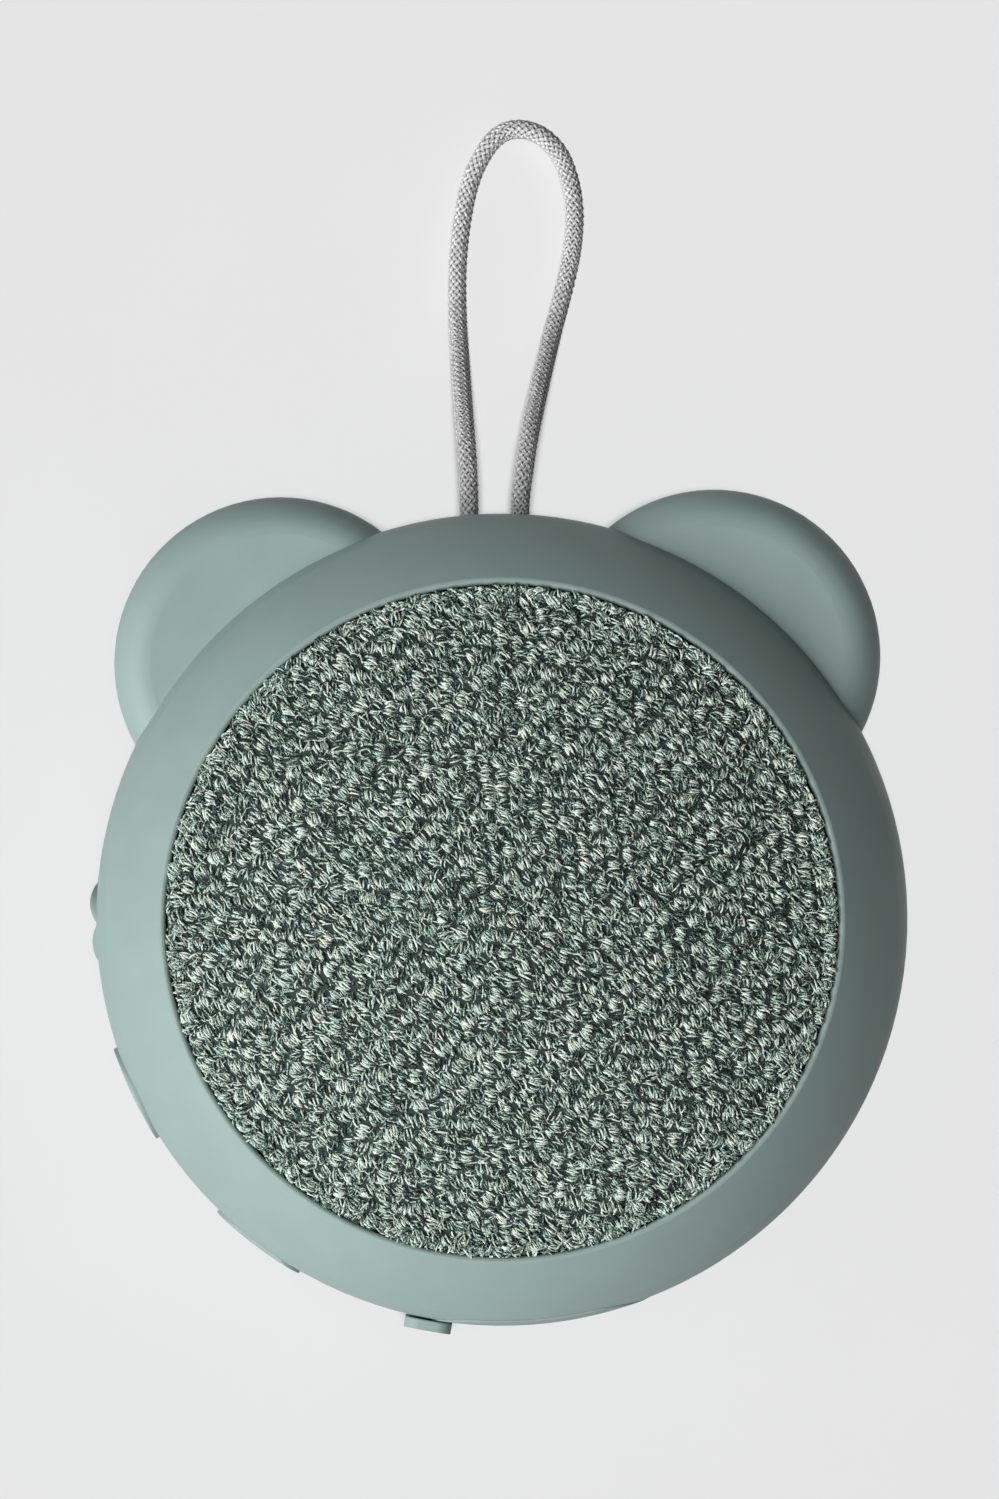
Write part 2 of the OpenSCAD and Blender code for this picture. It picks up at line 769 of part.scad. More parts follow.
module board_screws() {
    color("silver") for (p = board_posts) translate([p[0], p[1], board_z - small_head_h])
        screw(small_head_r, small_head_h, small_screw_r, board_t + 3);
}

// Receptacle: a folded metal shell with a tongue, its mouth towards the rim
module usb_port() {
    color("silver") at_side(port_deg) translate([0, usb_y, usb_z]) {
        difference() {
            pill(port_mouth - usb_l, port_mouth, usb_w, usb_h);
            pill(port_mouth - usb_l + 1, far, usb_w - 2 * usb_shell, usb_h - 2 * usb_shell);
        }
        translate([port_mouth - usb_l + 0.5, -3.35, -0.35]) cube([usb_l - 1.3, 6.7, 0.7]);
    }
}

module audio_jack() {
    color("#202325") at_side(port_deg) translate([0, audio_y, side_z]) difference() {
        union() {
            rod(inner_r - 1.5, port_mouth, audio_nose_r);
            translate([jack_r, -audio_body[1] / 2, board_top - side_z])
                cube([audio_body[0], audio_body[1], audio_body[2]]);
        }
        rod(port_mouth - audio_depth, far, audio_bore_d / 2);
    }
}

module wireless_module() {
    color("#c3c7c6") translate(concat(on_board(254, 6.4), [board_top])) translate([-4.5, -2.1, 0]) {
        cube([9, 4.2, 0.8]);
        translate([0.4, 0.5, 0.8]) cube([8.2, 3.2, 1.2]);
    }
}

module amplifier_chip() {
    color("#191b1c") translate(concat(chip_at, [board_top])) {
        translate([0, 0.7, 0.1]) cube([5, 3.9, 1.4]);
        for (x = [0.4:1.27:4.4], y = [0, 4.6]) translate([x, y, 0]) cube([0.4, 0.7, 0.5]);
    }
}

// Inductors, capacitors and small chips
module board_parts() {
    color("#3a3d40") {
        for (p = [[-10, -21.5], [22.6, -9.9], on_board(330, 2.3)])
            translate([p[0], p[1], board_top]) cylinder(r = 2, h = 2.6);
        for (p = [[14.6, -15.6], [3.8, -22.2], on_board(300, 3)])
            translate([p[0], p[1], board_top]) translate([-1.5, -1, 0]) cube([3, 2, 1.2]);
        for (k = [0:3]) translate(concat(on_board(304.5 + 3.4 * k, 2.6), [board_top])) cube([1.2, 0.7, 0.6]);
    }
}

// Two-pole plug and socket with its mouth along -X
module socket_block(z0, h) {
    difference() {
        translate([-socket_l / 2, -2.25, z0]) cube([socket_l, 4.5, h]);
        translate([-socket_l / 2 - 1, -1.75, z0 + 1]) cube([1 + socket_pocket, 3.5, h - 2]);
    }
}

module speaker_socket() {
    color("#e6e2d6") translate(concat(speaker_socket_at, [0])) socket_block(board_top, socket_h);
}

module battery_socket() {
    color("#e6e2d6") translate(concat(battery_socket_at, [0])) rotate(90)
        mirror([1, 0, 0]) socket_block(board_z - socket_h, socket_h);
}

module status_led() {
    color("#e9ecef") at_side(light_deg) translate([board_r - 2.4, -0.8, board_top]) cube([2.2, 1.6, 1.1]);
}

module light_pipe() {
    color("#f2f4f3") at_side(light_deg) translate([0, 0, side_z - 1])
        rod(board_r + 0.2, body_r - 0.05, light_r);
}

module battery_cell() {
    edge = 1.2;
    color("#b9bdbf") translate([0, 0, cell_z]) {
        translate([-cell_l / 2, -cell_w / 2 + edge, 0]) cube([cell_l, cell_w - 2 * edge, cell_t]);
        translate([-cell_l / 2, -cell_w / 2, edge]) cube([cell_l, cell_w, cell_t - 2 * edge]);
        for (y = [-1, 1], z = [edge, cell_t - edge]) translate([-cell_l / 2, y * (cell_w / 2 - edge), z])
            rotate([0, 90, 0]) cylinder(r = edge, h = cell_l);
    }
}

module battery_pad() {
    color("#2d2f30") translate([-cell_l / 2 + 4, -cell_w / 2 + 4, floor_z])
        cube([cell_l - 8, cell_w - 8, cell_gap]);
}

// Two wires side by side along one route, their spacing turning from one offset to the other
module wire_pair(path, offset, end_offset) {
    last = len(path) - 1;
    for (s = [-1, 1]) tube([for (i = [0:last]) path[i]
        + s * (offset + (end_offset - offset) * min(1, i / (last - 2)))], wire_r, 6);
}

module battery_lead() {
    start = [cell_l / 2 + fit, -9, cell_z + cell_t / 2];
    plug_y = battery_socket_at[1] + socket_l / 2 - socket_pocket + 0.2;
    end = [battery_socket_at[0], plug_y, board_z - socket_h / 2];
    color("#a8322b") wire_pair([start, start + [1.4, 0, 0.3], start + [2.6, -2.2, 1.6],
        start + [2.8, -5.5, 3.4], end + [1, 3.6, -3], end + [0.3, 1.8, -0.4], end],
        [0, 0.7, 0], [0.8, 0, 0]);
}

module speaker_lead() {
    start = rotated([foot_r + 2, 0, foot_z + 0.4 + wire_r], 330);
    plug_x = speaker_socket_at[0] - socket_l / 2 + socket_pocket - 0.2;
    end = [plug_x, speaker_socket_at[1], board_top + socket_h / 2];
    color("#303335") wire_pair([start, start + rotated([1, 0, 0.1], 330), start + rotated([2, 0, 0.5], 330),
        end + [-2, 0.5, 0.3], end + [-1, 0, 0.1], end], rotated([0, 2.2, 0], 330), [0, 0.8, 0]);
}

function rotated(p, a) = [p[0] * cos(a) - p[1] * sin(a), p[0] * sin(a) + p[1] * cos(a), p[2]];

// Curved rib behind the buttons, with a flat pad at each one and two screw lugs
module switch_bracket() {
    span = bracket_degs[1] - bracket_degs[0];
    color("#3f4745") difference() {
        union() {
            rotate(bracket_degs[0]) translate([0, 0, side_z - station_h / 2]) rotate_extrude(angle = span)
                translate([bracket_r - bracket_t, 0])
                    square([bracket_t, baffle_base - fit - side_z + station_h / 2]);
            for (a = station_degs) at_side(a)
                translate([bracket_r - 1, -station_w / 2, side_z - station_h / 2])
                cube([board_x - bracket_r + 1, station_w, station_h]);
            for (a = bracket_screw_degs) rotate(a)
                translate([bracket_screw_r, -2.4, baffle_base - fit - 1.6]) {
                    cube([bracket_r - bracket_t / 2 - bracket_screw_r, 4.8, 1.6]);
                    translate([0, 2.4, 0]) cylinder(r = 2.4, h = 1.6);
                }
        }
        for (a = bracket_screw_degs) rotate(a) translate([bracket_screw_r, 0, 0])
            cylinder(r = small_screw_r + slack, h = far);
        for (a = boss_degs) rotate(a) translate([boss_pitch_r, 0, 0]) cylinder(r = boss_r + slack, h = far);
        for (p = board_posts) translate([p[0], p[1], 0]) cylinder(r = post_r + slack, h = far);
    }
}

module bracket_screws() {
    color("silver") for (a = bracket_screw_degs) rotate(a)
        translate([bracket_screw_r, 0, baffle_base - fit - 1.6 - small_head_h])
            screw(small_head_r, small_head_h, small_screw_r, small_screw_l);
}

// Three small boards joined by a bent strip
module switch_flex() {
    strip_r = norm([board_x, station_w / 2]) + 0.02;
    turn = atan(station_w / 2 / board_x) - 0.1;
    color("#c98a2b") {
        for (a = station_degs) at_side(a)
            translate([board_x, -station_w / 2, side_z - station_h / 2 + 0.5])
                cube([switch_board_t, station_w, station_h - 1]);
        rotate(rocker_deg + turn) translate([0, 0, side_z - 2])
            rotate_extrude(angle = mode_deg - rocker_deg - 2 * turn)
            translate([strip_r, 0]) square([0.25, 4]);
    }
}

module tact_switch() {
    translate([board_x + switch_board_t, -1.9, -1.9]) cube([switch_h - 0.4, 3.8, 3.8]);
    rod(board_x + switch_board_t, switch_top, nub_r + 0.5);
}

module tact_switches() {
    color("#d8dadb") {
        for (a = [play_deg, mode_deg]) at_side(a) translate([0, 0, side_z]) tact_switch();
        for (s = [-1, 1]) at_side(rocker_deg) translate([0, s * 2.2, side_z]) tact_switch();
    }
}

// Round button, crowned like the rim, with a flange and a stem behind it
module play_button() {
    crown_x = body_r + play_proud - play_crown;
    color("#94aaa4") at_side(play_deg) translate([0, 0, side_z]) {
        rotate([0, 90, 0]) rotate_extrude() intersection() {
            disc_section(play_r, play_stop - 0.5, body_r + play_proud, play_edge);
            translate([0, crown_x]) circle(play_crown, $fn = 720);
        }
        rod(play_stop - flange_h, play_stop, play_flange_r);
        rod(switch_top + travel + 0.1, play_stop, stem_r);
    }
}

// Curved bar that follows the rim, cut to a pill outline
module rim_bar(r0, r1, length, height, edge) {
    intersection() {
        translate([0, 0, -height / 2]) rotate_extrude() {
            translate([r0, 0]) square([r1 - r0 - edge, height]);
            translate([r0, edge]) square([r1 - r0, height - 2 * edge]);
            for (z = [edge, height - edge]) translate([r1 - edge, z]) circle(edge, $fn = 32);
        }
        pill(r0 - 5, far, length, height);
    }
}

module mode_button() {
    color("#8ea49e") at_side(mode_deg) translate([0, 0, side_z]) {
        rim_bar(mode_stop - 2, body_r + mode_proud, mode_w, mode_h, 0.4);
        pill(mode_stop - flange_h, mode_stop, mode_w + 2 * flange_grow, mode_h + 2 * flange_grow);
        rod(switch_top + travel + 0.1, mode_stop, stem_r);
    }
}

// Two-lobed key on a pivot behind the wall
module volume_rocker() {
    lobe_r = 3.6;
    lobe_y = rocker_w / 4;
    color("#8ea49e") at_side(rocker_deg) translate([0, 0, side_z]) {
        intersection() {
            pill(rocker_stop - 0.5, far, rocker_w, rocker_h);
            union() {
                translate([rocker_stop - 0.5, -rocker_w / 2, -rocker_h / 2])
                    cube([body_r - rocker_stop + 0.4, rocker_w, rocker_h]);
                translate([body_r + rocker_proud - lobe_r, -lobe_y, -rocker_h / 2])
                    cylinder(r = lobe_r, h = rocker_h);
                translate([body_r + rocker_proud * 0.75 - lobe_r, lobe_y, -rocker_h / 2 + 0.6])
                    cylinder(r = lobe_r, h = rocker_h - 2);
            }
        }
        translate([rocker_stop - flange_h, -rocker_w / 2 - flange_grow, -rocker_h / 2])
            cube([flange_h, rocker_w + 2 * flange_grow, rocker_h]);
        for (s = [-1, 1]) translate([0, s * 2.2, 0]) rod(switch_top + slack + 0.1, rocker_stop, 1);
    }
}

// Soft cover over the two sockets, with a plug for each and a pull tab on its free end
module port_flap() {
    color("#8fa59f") at_side(port_deg) translate([0, 0, side_z]) {
        intersection() {
            pill(inner_r, far, flap_w, flap_h);
            translate([0, 0, -side_z]) difference() {
                body_form(-flap_proud);
                body_form(flap_t - flap_proud);
            }
        }
        translate([0, usb_y, usb_z - side_z])
            pill(port_mouth - 0.5, body_r - 0.8, usb_w - usb_rim, usb_h - usb_rim);
        translate([0, audio_y, 0]) rod(port_mouth + plug_gap, body_r - 0.9, audio_nose_r - fit);
        pull_tab();
    }
}

// Nub that overhangs the rim past the flap's free end, on a short neck
module pull_tab() {
    free_deg = asin(-flap_w / 2 / body_r);
    end_deg = asin((-flap_w / 2 - tab_over) / body_r);
    span = asin((tab_w - flap_w / 2 - tab_over) / body_r) - end_deg;
    middle_deg = end_deg + span / 2;
    reach = body_r * sin(span / 2);
    neck_y = body_r * sin(free_deg - middle_deg) + fit + flap_h / 2
        - sqrt(pow(flap_h / 2, 2) - pow(neck_h / 2, 2));
    rotate(middle_deg) {
        tab_plate(body_r + tab_proud - tab_t, 2 * reach);
        translate([body_r - flap_t / 2, neck_y, -neck_h / 2])
            cube([(flap_t - tab_t) / 2 + tab_proud, reach - neck_y - slack, neck_h]);
    }
}

// Upright plate with rounded corners, its length across the rim
module tab_plate(x0, length) {
    inset = tab_h / 2 - tab_round;
    for (y = [-1, 1], z = [-1, 1]) translate([0, y * (length / 2 - tab_round), z * inset])
        rod(x0, x0 + tab_t, tab_round);
    translate([x0, -length / 2, -inset]) cube([tab_t, length, 2 * inset]);
    translate([x0, tab_round - length / 2, -tab_h / 2]) cube([tab_t, length - 2 * tab_round, tab_h]);
}

// Flat-sided sleeve that holds both ends of the cord behind the wall
module cord_crimp() {
    color("#a9aeb0") translate([0, crimp_y - crimp_size[1], cord_z]) rotate([0, 0, 90])
        pill(0, crimp_size[1], crimp_size[0], crimp_size[2]);
}

module hanging_cord() {
    color("#c9cfcc") tube(cord_path, cord_r);
}

front_housing();
rear_cover();
seal_ring();
base_pad();
housing_screws();
grille_fabric();
grille_plate();
grille_ring();
driver_basket();
driver_gasket();
driver_screws();
driver_terminals();
top_plate();
magnet();
yoke();
spider();
surround();
cone();
dust_cap();
voice_coil();
main_board();
board_screws();
usb_port();
audio_jack();
wireless_module();
amplifier_chip();
board_parts();
speaker_socket();
battery_socket();
status_led();
light_pipe();
battery_cell();
battery_pad();
battery_lead();
speaker_lead();
switch_bracket();
bracket_screws();
switch_flex();
tact_switches();
volume_rocker();
play_button();
mode_button();
port_flap();
cord_crimp();
hanging_cord();
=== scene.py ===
"""A round children's loudspeaker: two rounded ears, a woven domed front and a braided loop.

Lengths are in metres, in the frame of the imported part. Z points out of the woven front, and Y
points from the middle of the body towards the loop.
"""

import json
import logging
import math
from dataclasses import dataclass
from enum import Enum
from functools import cache

import bmesh
import bpy
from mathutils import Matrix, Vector

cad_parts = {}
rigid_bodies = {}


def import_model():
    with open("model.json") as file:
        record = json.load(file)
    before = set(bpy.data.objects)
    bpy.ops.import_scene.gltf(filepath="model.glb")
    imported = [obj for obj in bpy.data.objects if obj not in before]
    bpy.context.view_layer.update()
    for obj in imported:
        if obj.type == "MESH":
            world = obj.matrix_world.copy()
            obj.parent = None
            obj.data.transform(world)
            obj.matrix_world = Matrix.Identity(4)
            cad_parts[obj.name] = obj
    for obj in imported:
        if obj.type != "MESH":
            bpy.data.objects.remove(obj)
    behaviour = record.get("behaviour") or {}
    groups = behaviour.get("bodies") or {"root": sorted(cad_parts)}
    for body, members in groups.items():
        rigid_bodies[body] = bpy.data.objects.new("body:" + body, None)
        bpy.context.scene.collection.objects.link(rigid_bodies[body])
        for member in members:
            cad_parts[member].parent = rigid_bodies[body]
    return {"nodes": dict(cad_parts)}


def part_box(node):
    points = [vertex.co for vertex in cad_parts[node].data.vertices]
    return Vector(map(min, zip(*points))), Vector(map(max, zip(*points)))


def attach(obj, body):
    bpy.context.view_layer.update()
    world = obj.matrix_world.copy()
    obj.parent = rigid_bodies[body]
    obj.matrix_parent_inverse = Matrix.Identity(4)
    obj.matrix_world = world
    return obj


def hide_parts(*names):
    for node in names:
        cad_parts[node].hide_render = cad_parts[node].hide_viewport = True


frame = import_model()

Colour = tuple[float, float, float]
Point = tuple[float, float, float]
Socket = bpy.types.NodeSocket

FIRST_ROW = 100  # Added to a row's number, which is negative in the lower half, before its remainder.
WAVE_UNIT = 6  # A wave texture holds about three waves in one unit of its scale.
log = logging.getLogger("loudspeaker")


def placed(name: str, data: bpy.types.ID) -> bpy.types.Object:
    """Returns a new object, put into the scene."""
    thing = bpy.data.objects.new(name, data)
    bpy.context.scene.collection.objects.link(thing)
    return thing


def shown(sockets: bpy.types.NodeInputs | bpy.types.NodeOutputs) -> list[Socket]:
    """Returns the sockets that a node shows with its present settings."""
    return [socket for socket in sockets if socket.enabled]


class Nodes:
    """A node tree that is wired up node by node."""

    def __init__(self, tree: bpy.types.NodeTree) -> None:
        """Takes the tree that gets the nodes."""
        self.tree = tree

    def link(self, socket: Socket, value: object) -> None:
        """Gives an input a plain value or the value of another socket.

        Args:
            socket: The input.
            value: The plain value or the socket.
        """
        if isinstance(value, Socket):
            self.tree.links.new(value, socket)
        else:
            socket.default_value = value

    def add(self, kind: str, settings: dict | None = None, inputs: dict | None = None) -> bpy.types.Node:
        """Adds one node.

        Args:
            kind: The node's type.
            settings: Values of the node's own properties.
            inputs: A value or a linked socket for each shown input, by name or number.

        Returns:
            The new node.
        """
        node = self.tree.nodes.new(kind)
        for name, value in (settings or {}).items():
            setattr(node, name, value)
        ways_in = shown(node.inputs)
        sockets = dict(enumerate(ways_in)) | {socket.name: socket for socket in reversed(ways_in)}
        for key, value in (inputs or {}).items():
            self.link(sockets[key], value)
        return node

    def maths(self, operation: str, *terms: object) -> Socket:
        """Returns the result of one step of arithmetic on numbers or sockets."""
        return self.add("ShaderNodeMath", {"operation": operation}, dict(enumerate(terms))).outputs[0]

    def plus(self, one: object, other: object) -> Socket:
        """Returns the sum of two numbers or sockets."""
        return self.maths("ADD", one, other)

    def minus(self, one: object, other: object) -> Socket:
        """Returns the first of two numbers or sockets less the other."""
        return self.maths("SUBTRACT", one, other)

    def times(self, one: object, other: object) -> Socket:
        """Returns the product of two numbers or sockets."""
        return self.maths("MULTIPLY", one, other)

    def divided(self, one: object, other: object) -> Socket:
        """Returns the first of two numbers or sockets divided by the other."""
        return self.maths("DIVIDE", one, other)

    def ranged(self, value: Socket, low: float, high: float, start: float = 0.3, end: float = 0.7) -> Socket:
        """Returns a value that runs from low to high where the given one runs from start to end."""
        return self.add("ShaderNodeMapRange", None, {
            "Value": value, "From Min": start, "From Max": end, "To Min": low, "To Max": high}).outputs[0]


class Shading(Nodes):
    """A procedural material round one Principled shader."""

    def __init__(self, name: str) -> None:
        """Starts the material.

        Args:
            name: The finish's name.
        """
        self.material = bpy.data.materials.new(name)
        self.material.use_nodes = True
        super().__init__(self.material.node_tree)
        self.surface = self.tree.nodes["Principled BSDF"]

    def feed(self, values: dict[str, object]) -> None:
        """Sets or links inputs of the Principled shader, by name."""
        for name, value in values.items():
            self.link(self.surface.inputs[name], value)

    def place(self, stretch: Point = (1, 1, 1)) -> Socket:
        """Returns Object coordinates, stretched by a factor along each axis."""
        where = self.add("ShaderNodeTexCoord").outputs["Object"]
        return self.add("ShaderNodeMapping", None, {"Vector": where, "Scale": stretch}).outputs[0]

    def noise(self, size: float, detail: float, where: Socket | None = None, distortion: float = 0) -> Socket:
        """Returns soft noise in blots of a given size, on Object coordinates where none are given."""
        where = self.place() if where is None else where
        return self.add("ShaderNodeTexNoise", None, {
            "Vector": where, "Scale": 1 / size, "Detail": detail, "Distortion": distortion}).outputs["Fac"]

    def waves(self, size: float, settings: dict, shape: dict) -> Socket:
        """Returns waves about twice as wide as a given size."""
        inputs = {"Vector": self.place(), "Scale": 1 / (WAVE_UNIT * size), **shape}
        return self.add("ShaderNodeTexWave", settings, inputs).outputs["Fac"]

    def stops(self, value: Socket, marks: list[tuple[float, Colour]]) -> Socket:
        """Colours along a ramp.

        Args:
            value: The socket that runs along the ramp.
            marks: Each mark's place from 0 to 1, and its colour.

        Returns:
            The colour socket.
        """
        node = self.add("ShaderNodeValToRGB", None, {0: value})
        ramp = node.color_ramp
        while len(ramp.elements) < len(marks):
            ramp.elements.new(0.5)
        for element, (place, colour) in zip(ramp.elements, marks):
            element.position = place
            element.color = (*colour, 1)
        return node.outputs["Color"]

    def relief(self, height: Socket, depth: float, rounding: float = 0) -> None:
        """Gives the surface a relief, and softens its edges.

        Args:
            height: The height's socket, from 0 to 1.
            depth: The depth of the relief, in metres.
            rounding: The radius that softens the edges, in metres.
        """
        inputs = {"Height": height, "Distance": depth, "Strength": 1.0}
        if rounding:
            edge = self.add("ShaderNodeBevel", {"samples": 4}, {"Radius": rounding})
            inputs["Normal"] = edge.outputs[0]
        self.feed({"Normal": self.add("ShaderNodeBump", None, inputs).outputs[0]})


class Grain(Enum):
    """How the surface of a finish is broken up."""

    MOULDED = "moulded"
    BRUSHED = "brushed"
    TURNED = "turned"
    CAST = "cast"
    FIBROUS = "fibrous"
    WOUND = "wound"
    ETCHED = "etched"
    CRINKLED = "crinkled"
    WOVEN = "woven"


@dataclass(frozen=True)
class Finish:
    """One finish of a rigid or moulded piece."""

    name: str
    base: Colour
    mark: Colour
    grain: Grain = Grain.MOULDED
    size: float = 0.0003
    depth: float = 0.00002
    roughness: float = 0.5
    metallic: float = 0.0
    rounding: float = 0.0
    coat: float = 0.0
    clear: float = 0.0
    drift: float = 0.006
    drift_shade: float = 0.2
    relief_shade: float = 0.18
    lighter: float = 1.06
    dulling: float = 0.05
    coat_roughness: float = 0.15

    def pattern(self, shading: Shading) -> Socket:
        """The height of the surface, from 0 to 1.

        Args:
            shading: The material that is being made.

        Returns:
            The height's socket.
        """
        size = self.size
        if self.grain is Grain.BRUSHED:
            return shading.noise(size, 3, shading.place((0.03, 1, 1)))
        if self.grain is Grain.TURNED:
            return shading.waves(size, {"wave_type": "RINGS", "rings_direction": "Z"}, {
                "Distortion": 1.5, "Detail": 2.0, "Detail Scale": 3.0})
        if self.grain is Grain.WOUND:
            return shading.waves(size, {"bands_direction": "Z"}, {"Distortion": 0.3, "Detail": 1.0})
        if self.grain is Grain.ETCHED:
            cells = shading.add("ShaderNodeTexVoronoi", {"distance": "CHEBYCHEV"}, {
                "Vector": shading.place(), "Scale": 1 / size, "Randomness": 0.7})
            return shading.ranged(cells.outputs["Distance"], 0, 1, 0.34, 0.4)
        if self.grain is Grain.CRINKLED:
            return shading.noise(size, 4, None, 2.0)
        if self.grain is Grain.FIBROUS:
            places = (shading.place(stretch) for stretch in ((0.15, 1, 1), (1, 0.15, 1)))
            return shading.maths("MAXIMUM", *(shading.noise(size, 4, place, 1.0) for place in places))
        if self.grain is Grain.WOVEN:
            return shading.maths("MAXIMUM", *(
                shading.waves(size, {"bands_direction": way}, {"Distortion": 0.4}) for way in "XY"))
        if self.grain is Grain.CAST:
            return shading.noise(size, 6)
        fine = shading.noise(size, 3)
        pits = shading.add("ShaderNodeTexVoronoi", None, {"Vector": shading.place(), "Scale": 1.6 / size})
        return shading.times(fine, pits.outputs["Distance"])

    @cache
    def build(self) -> bpy.types.Material:
        """Makes the material on its first use.

        Returns:
            The material.
        """
        shading = Shading(self.name)
        height = self.pattern(shading)
        drift = shading.noise(self.drift, 3)
        shade = shading.plus(shading.ranged(height, -self.relief_shade, self.relief_shade),
                             shading.ranged(drift, 0.5 - self.drift_shade, 0.5 + self.drift_shade))
        light = tuple(min(1.0, self.lighter * part) for part in self.base)
        shading.feed({
            "Base Color": shading.stops(shade, [(0.12, self.mark), (0.5, self.base), (0.9, light)]),
            "Roughness": shading.ranged(drift, self.roughness - self.dulling, self.roughness + self.dulling),
            "Metallic": self.metallic, "Coat Weight": self.coat, "Coat Roughness": self.coat_roughness,
            "Transmission Weight": self.clear})
        shading.relief(height, self.depth, self.rounding)
        return shading.material


@dataclass(frozen=True)
class YarnFinish:
    """Dyed yarn whose strands differ by stored tone and hue, plus a stored mix of random colour and, on the
    cord, painted shade where a yarn dives under.
    """

    name: str
    marks: tuple[tuple[float, Colour], ...]
    dyes: tuple[tuple[float, Colour], ...] = ((0.0, (1.0, 1.0, 1.0)), (1.0, (1.0, 1.0, 1.0)))
    evenness: float = 0.5
    fibre: float = 0.00012
    streak: float = 0.16
    depth: float = 0.00004
    roughness: float = 0.85
    gloss: float = 0.25
    sheen: float = 0.25
    sheen_roughness: float = 0.5

    @cache
    def build(self) -> bpy.types.Material:
        """Makes the material on its first use.

        Returns:
            The material.
        """
        shading = Shading(self.name)
        tone, tint, hue = (shading.add("ShaderNodeAttribute", {"attribute_name": name}).outputs["Fac"]
                           for name in ("tone", "tint", "hue"))
        # On the cord, the second share is mostly painted shade where a yarn dives under the other set.
        mixed = shading.plus(shading.times(tone, self.evenness), shading.times(tint, 1 - self.evenness))
        fibres = shading.noise(self.fibre, 3)
        shade = shading.plus(mixed, shading.ranged(fibres, -self.streak, self.streak))
        dyed = shading.add("ShaderNodeMix", {"data_type": "RGBA", "blend_type": "MULTIPLY"}, {
            "Factor": 1.0, "A": shading.stops(shade, list(self.marks)),
            "B": shading.stops(hue, list(self.dyes))})
        shading.feed({
            "Base Color": shown(dyed.outputs)[0], "Roughness": self.roughness,
            "Specular IOR Level": self.gloss, "Sheen Weight": self.sheen,
            "Sheen Roughness": self.sheen_roughness})
        shading.relief(fibres, self.depth)
        return shading.material


SAGE = Finish("sage_moulding", (0.300, 0.402, 0.376), (0.282, 0.380, 0.355), size=0.00022,
              depth=0.000012, roughness=0.52, rounding=0.00022)
SAGE_KEYS = Finish("sage_keys", (0.318, 0.424, 0.397), (0.300, 0.402, 0.376), size=0.0002,
                   depth=0.000010, roughness=0.5, rounding=0.0003)
SAGE_RUBBER = Finish("sage_rubber", (0.312, 0.416, 0.390), (0.292, 0.392, 0.366), size=0.00016,
                     depth=0.000012, roughness=0.62, rounding=0.00035)
SAGE_BACK = Finish("sage_back_moulding", (0.300, 0.402, 0.376), (0.276, 0.372, 0.348), size=0.0003,
                   depth=0.000018, roughness=0.56, rounding=0.00022)
PAD_RUBBER = Finish("pad_rubber", (0.070, 0.090, 0.085), (0.045, 0.060, 0.056), size=0.0005,
                    depth=0.00003, roughness=0.8, rounding=0.0003)
DARK_RUBBER = Finish("dark_rubber", (0.030, 0.033, 0.032), (0.018, 0.020, 0.020), roughness=0.7)
BLACK_PLATE = Finish("black_plate", (0.020, 0.022, 0.022), (0.012, 0.013, 0.013), Grain.CAST,
                     0.0002, 0.00001, 0.45, 0.3)
ADHESIVE = Finish("adhesive", (0.55, 0.53, 0.45), (0.48, 0.46, 0.38), Grain.FIBROUS, 0.0006, roughness=0.8)
SCREW_STEEL = Finish("screw_steel", (0.58, 0.58, 0.56), (0.42, 0.42, 0.41), Grain.TURNED,
                     0.0001, 0.000006, 0.32, 1.0, 0.0001)
ZINC_STEEL = Finish("zinc_steel", (0.60, 0.61, 0.60), (0.44, 0.46, 0.47), Grain.CRINKLED,
                    0.002, 0.00001, 0.38, 1.0, 0.0001)
FERRITE = Finish("ferrite", (0.045, 0.045, 0.048), (0.025, 0.025, 0.027), Grain.CAST, 0.0005,
                 0.00002, 0.6)
BRASS = Finish("terminal_brass", (0.78, 0.60, 0.28), (0.62, 0.44, 0.18), Grain.BRUSHED,
               0.0002, 0.000006, 0.35, 1.0)
SPIDER_CLOTH = Finish("spider_cloth", (0.62, 0.48, 0.22), (0.40, 0.28, 0.10), Grain.WOVEN,
                      0.0004, 0.00005, 0.8)
CONE_PULP = Finish("cone_pulp", (0.040, 0.040, 0.042), (0.018, 0.018, 0.019), Grain.FIBROUS,
                   0.0005, 0.00004, 0.75)
SURROUND_RUBBER = Finish("surround_rubber", (0.022, 0.022, 0.023), (0.014, 0.014, 0.014), roughness=0.5)
COIL_COPPER = Finish("coil_copper", (0.72, 0.32, 0.15), (0.42, 0.15, 0.06), Grain.WOUND,
                     0.00018, 0.00004, 0.3, 0.9)
BOARD_GREEN = Finish("board_mask", (0.020, 0.105, 0.050), (0.035, 0.190, 0.085), Grain.ETCHED,
                     0.0022, 0.00003, 0.35, coat=0.5)
PORT_STEEL = Finish("port_steel", (0.62, 0.62, 0.61), (0.52, 0.52, 0.52), Grain.BRUSHED,
                    0.00015, 0.000006, 0.3, 1.0, 0.0001)
CHIP_PLASTIC = Finish("chip_plastic", (0.022, 0.023, 0.024), (0.014, 0.014, 0.015), Grain.CAST,
                      0.00025, 0.00001, 0.55, rounding=0.0001)
SOCKET_PLASTIC = Finish("socket_plastic", (0.72, 0.68, 0.58), (0.64, 0.60, 0.50), roughness=0.5,
                        rounding=0.0001)
CELL_FOIL = Finish("cell_foil", (0.62, 0.63, 0.64), (0.46, 0.47, 0.49), Grain.CRINKLED,
                   0.004, 0.00008, 0.35, 0.9)
RED_WIRE = Finish("red_wire", (0.42, 0.025, 0.020), (0.30, 0.015, 0.012), size=0.0004, roughness=0.45)
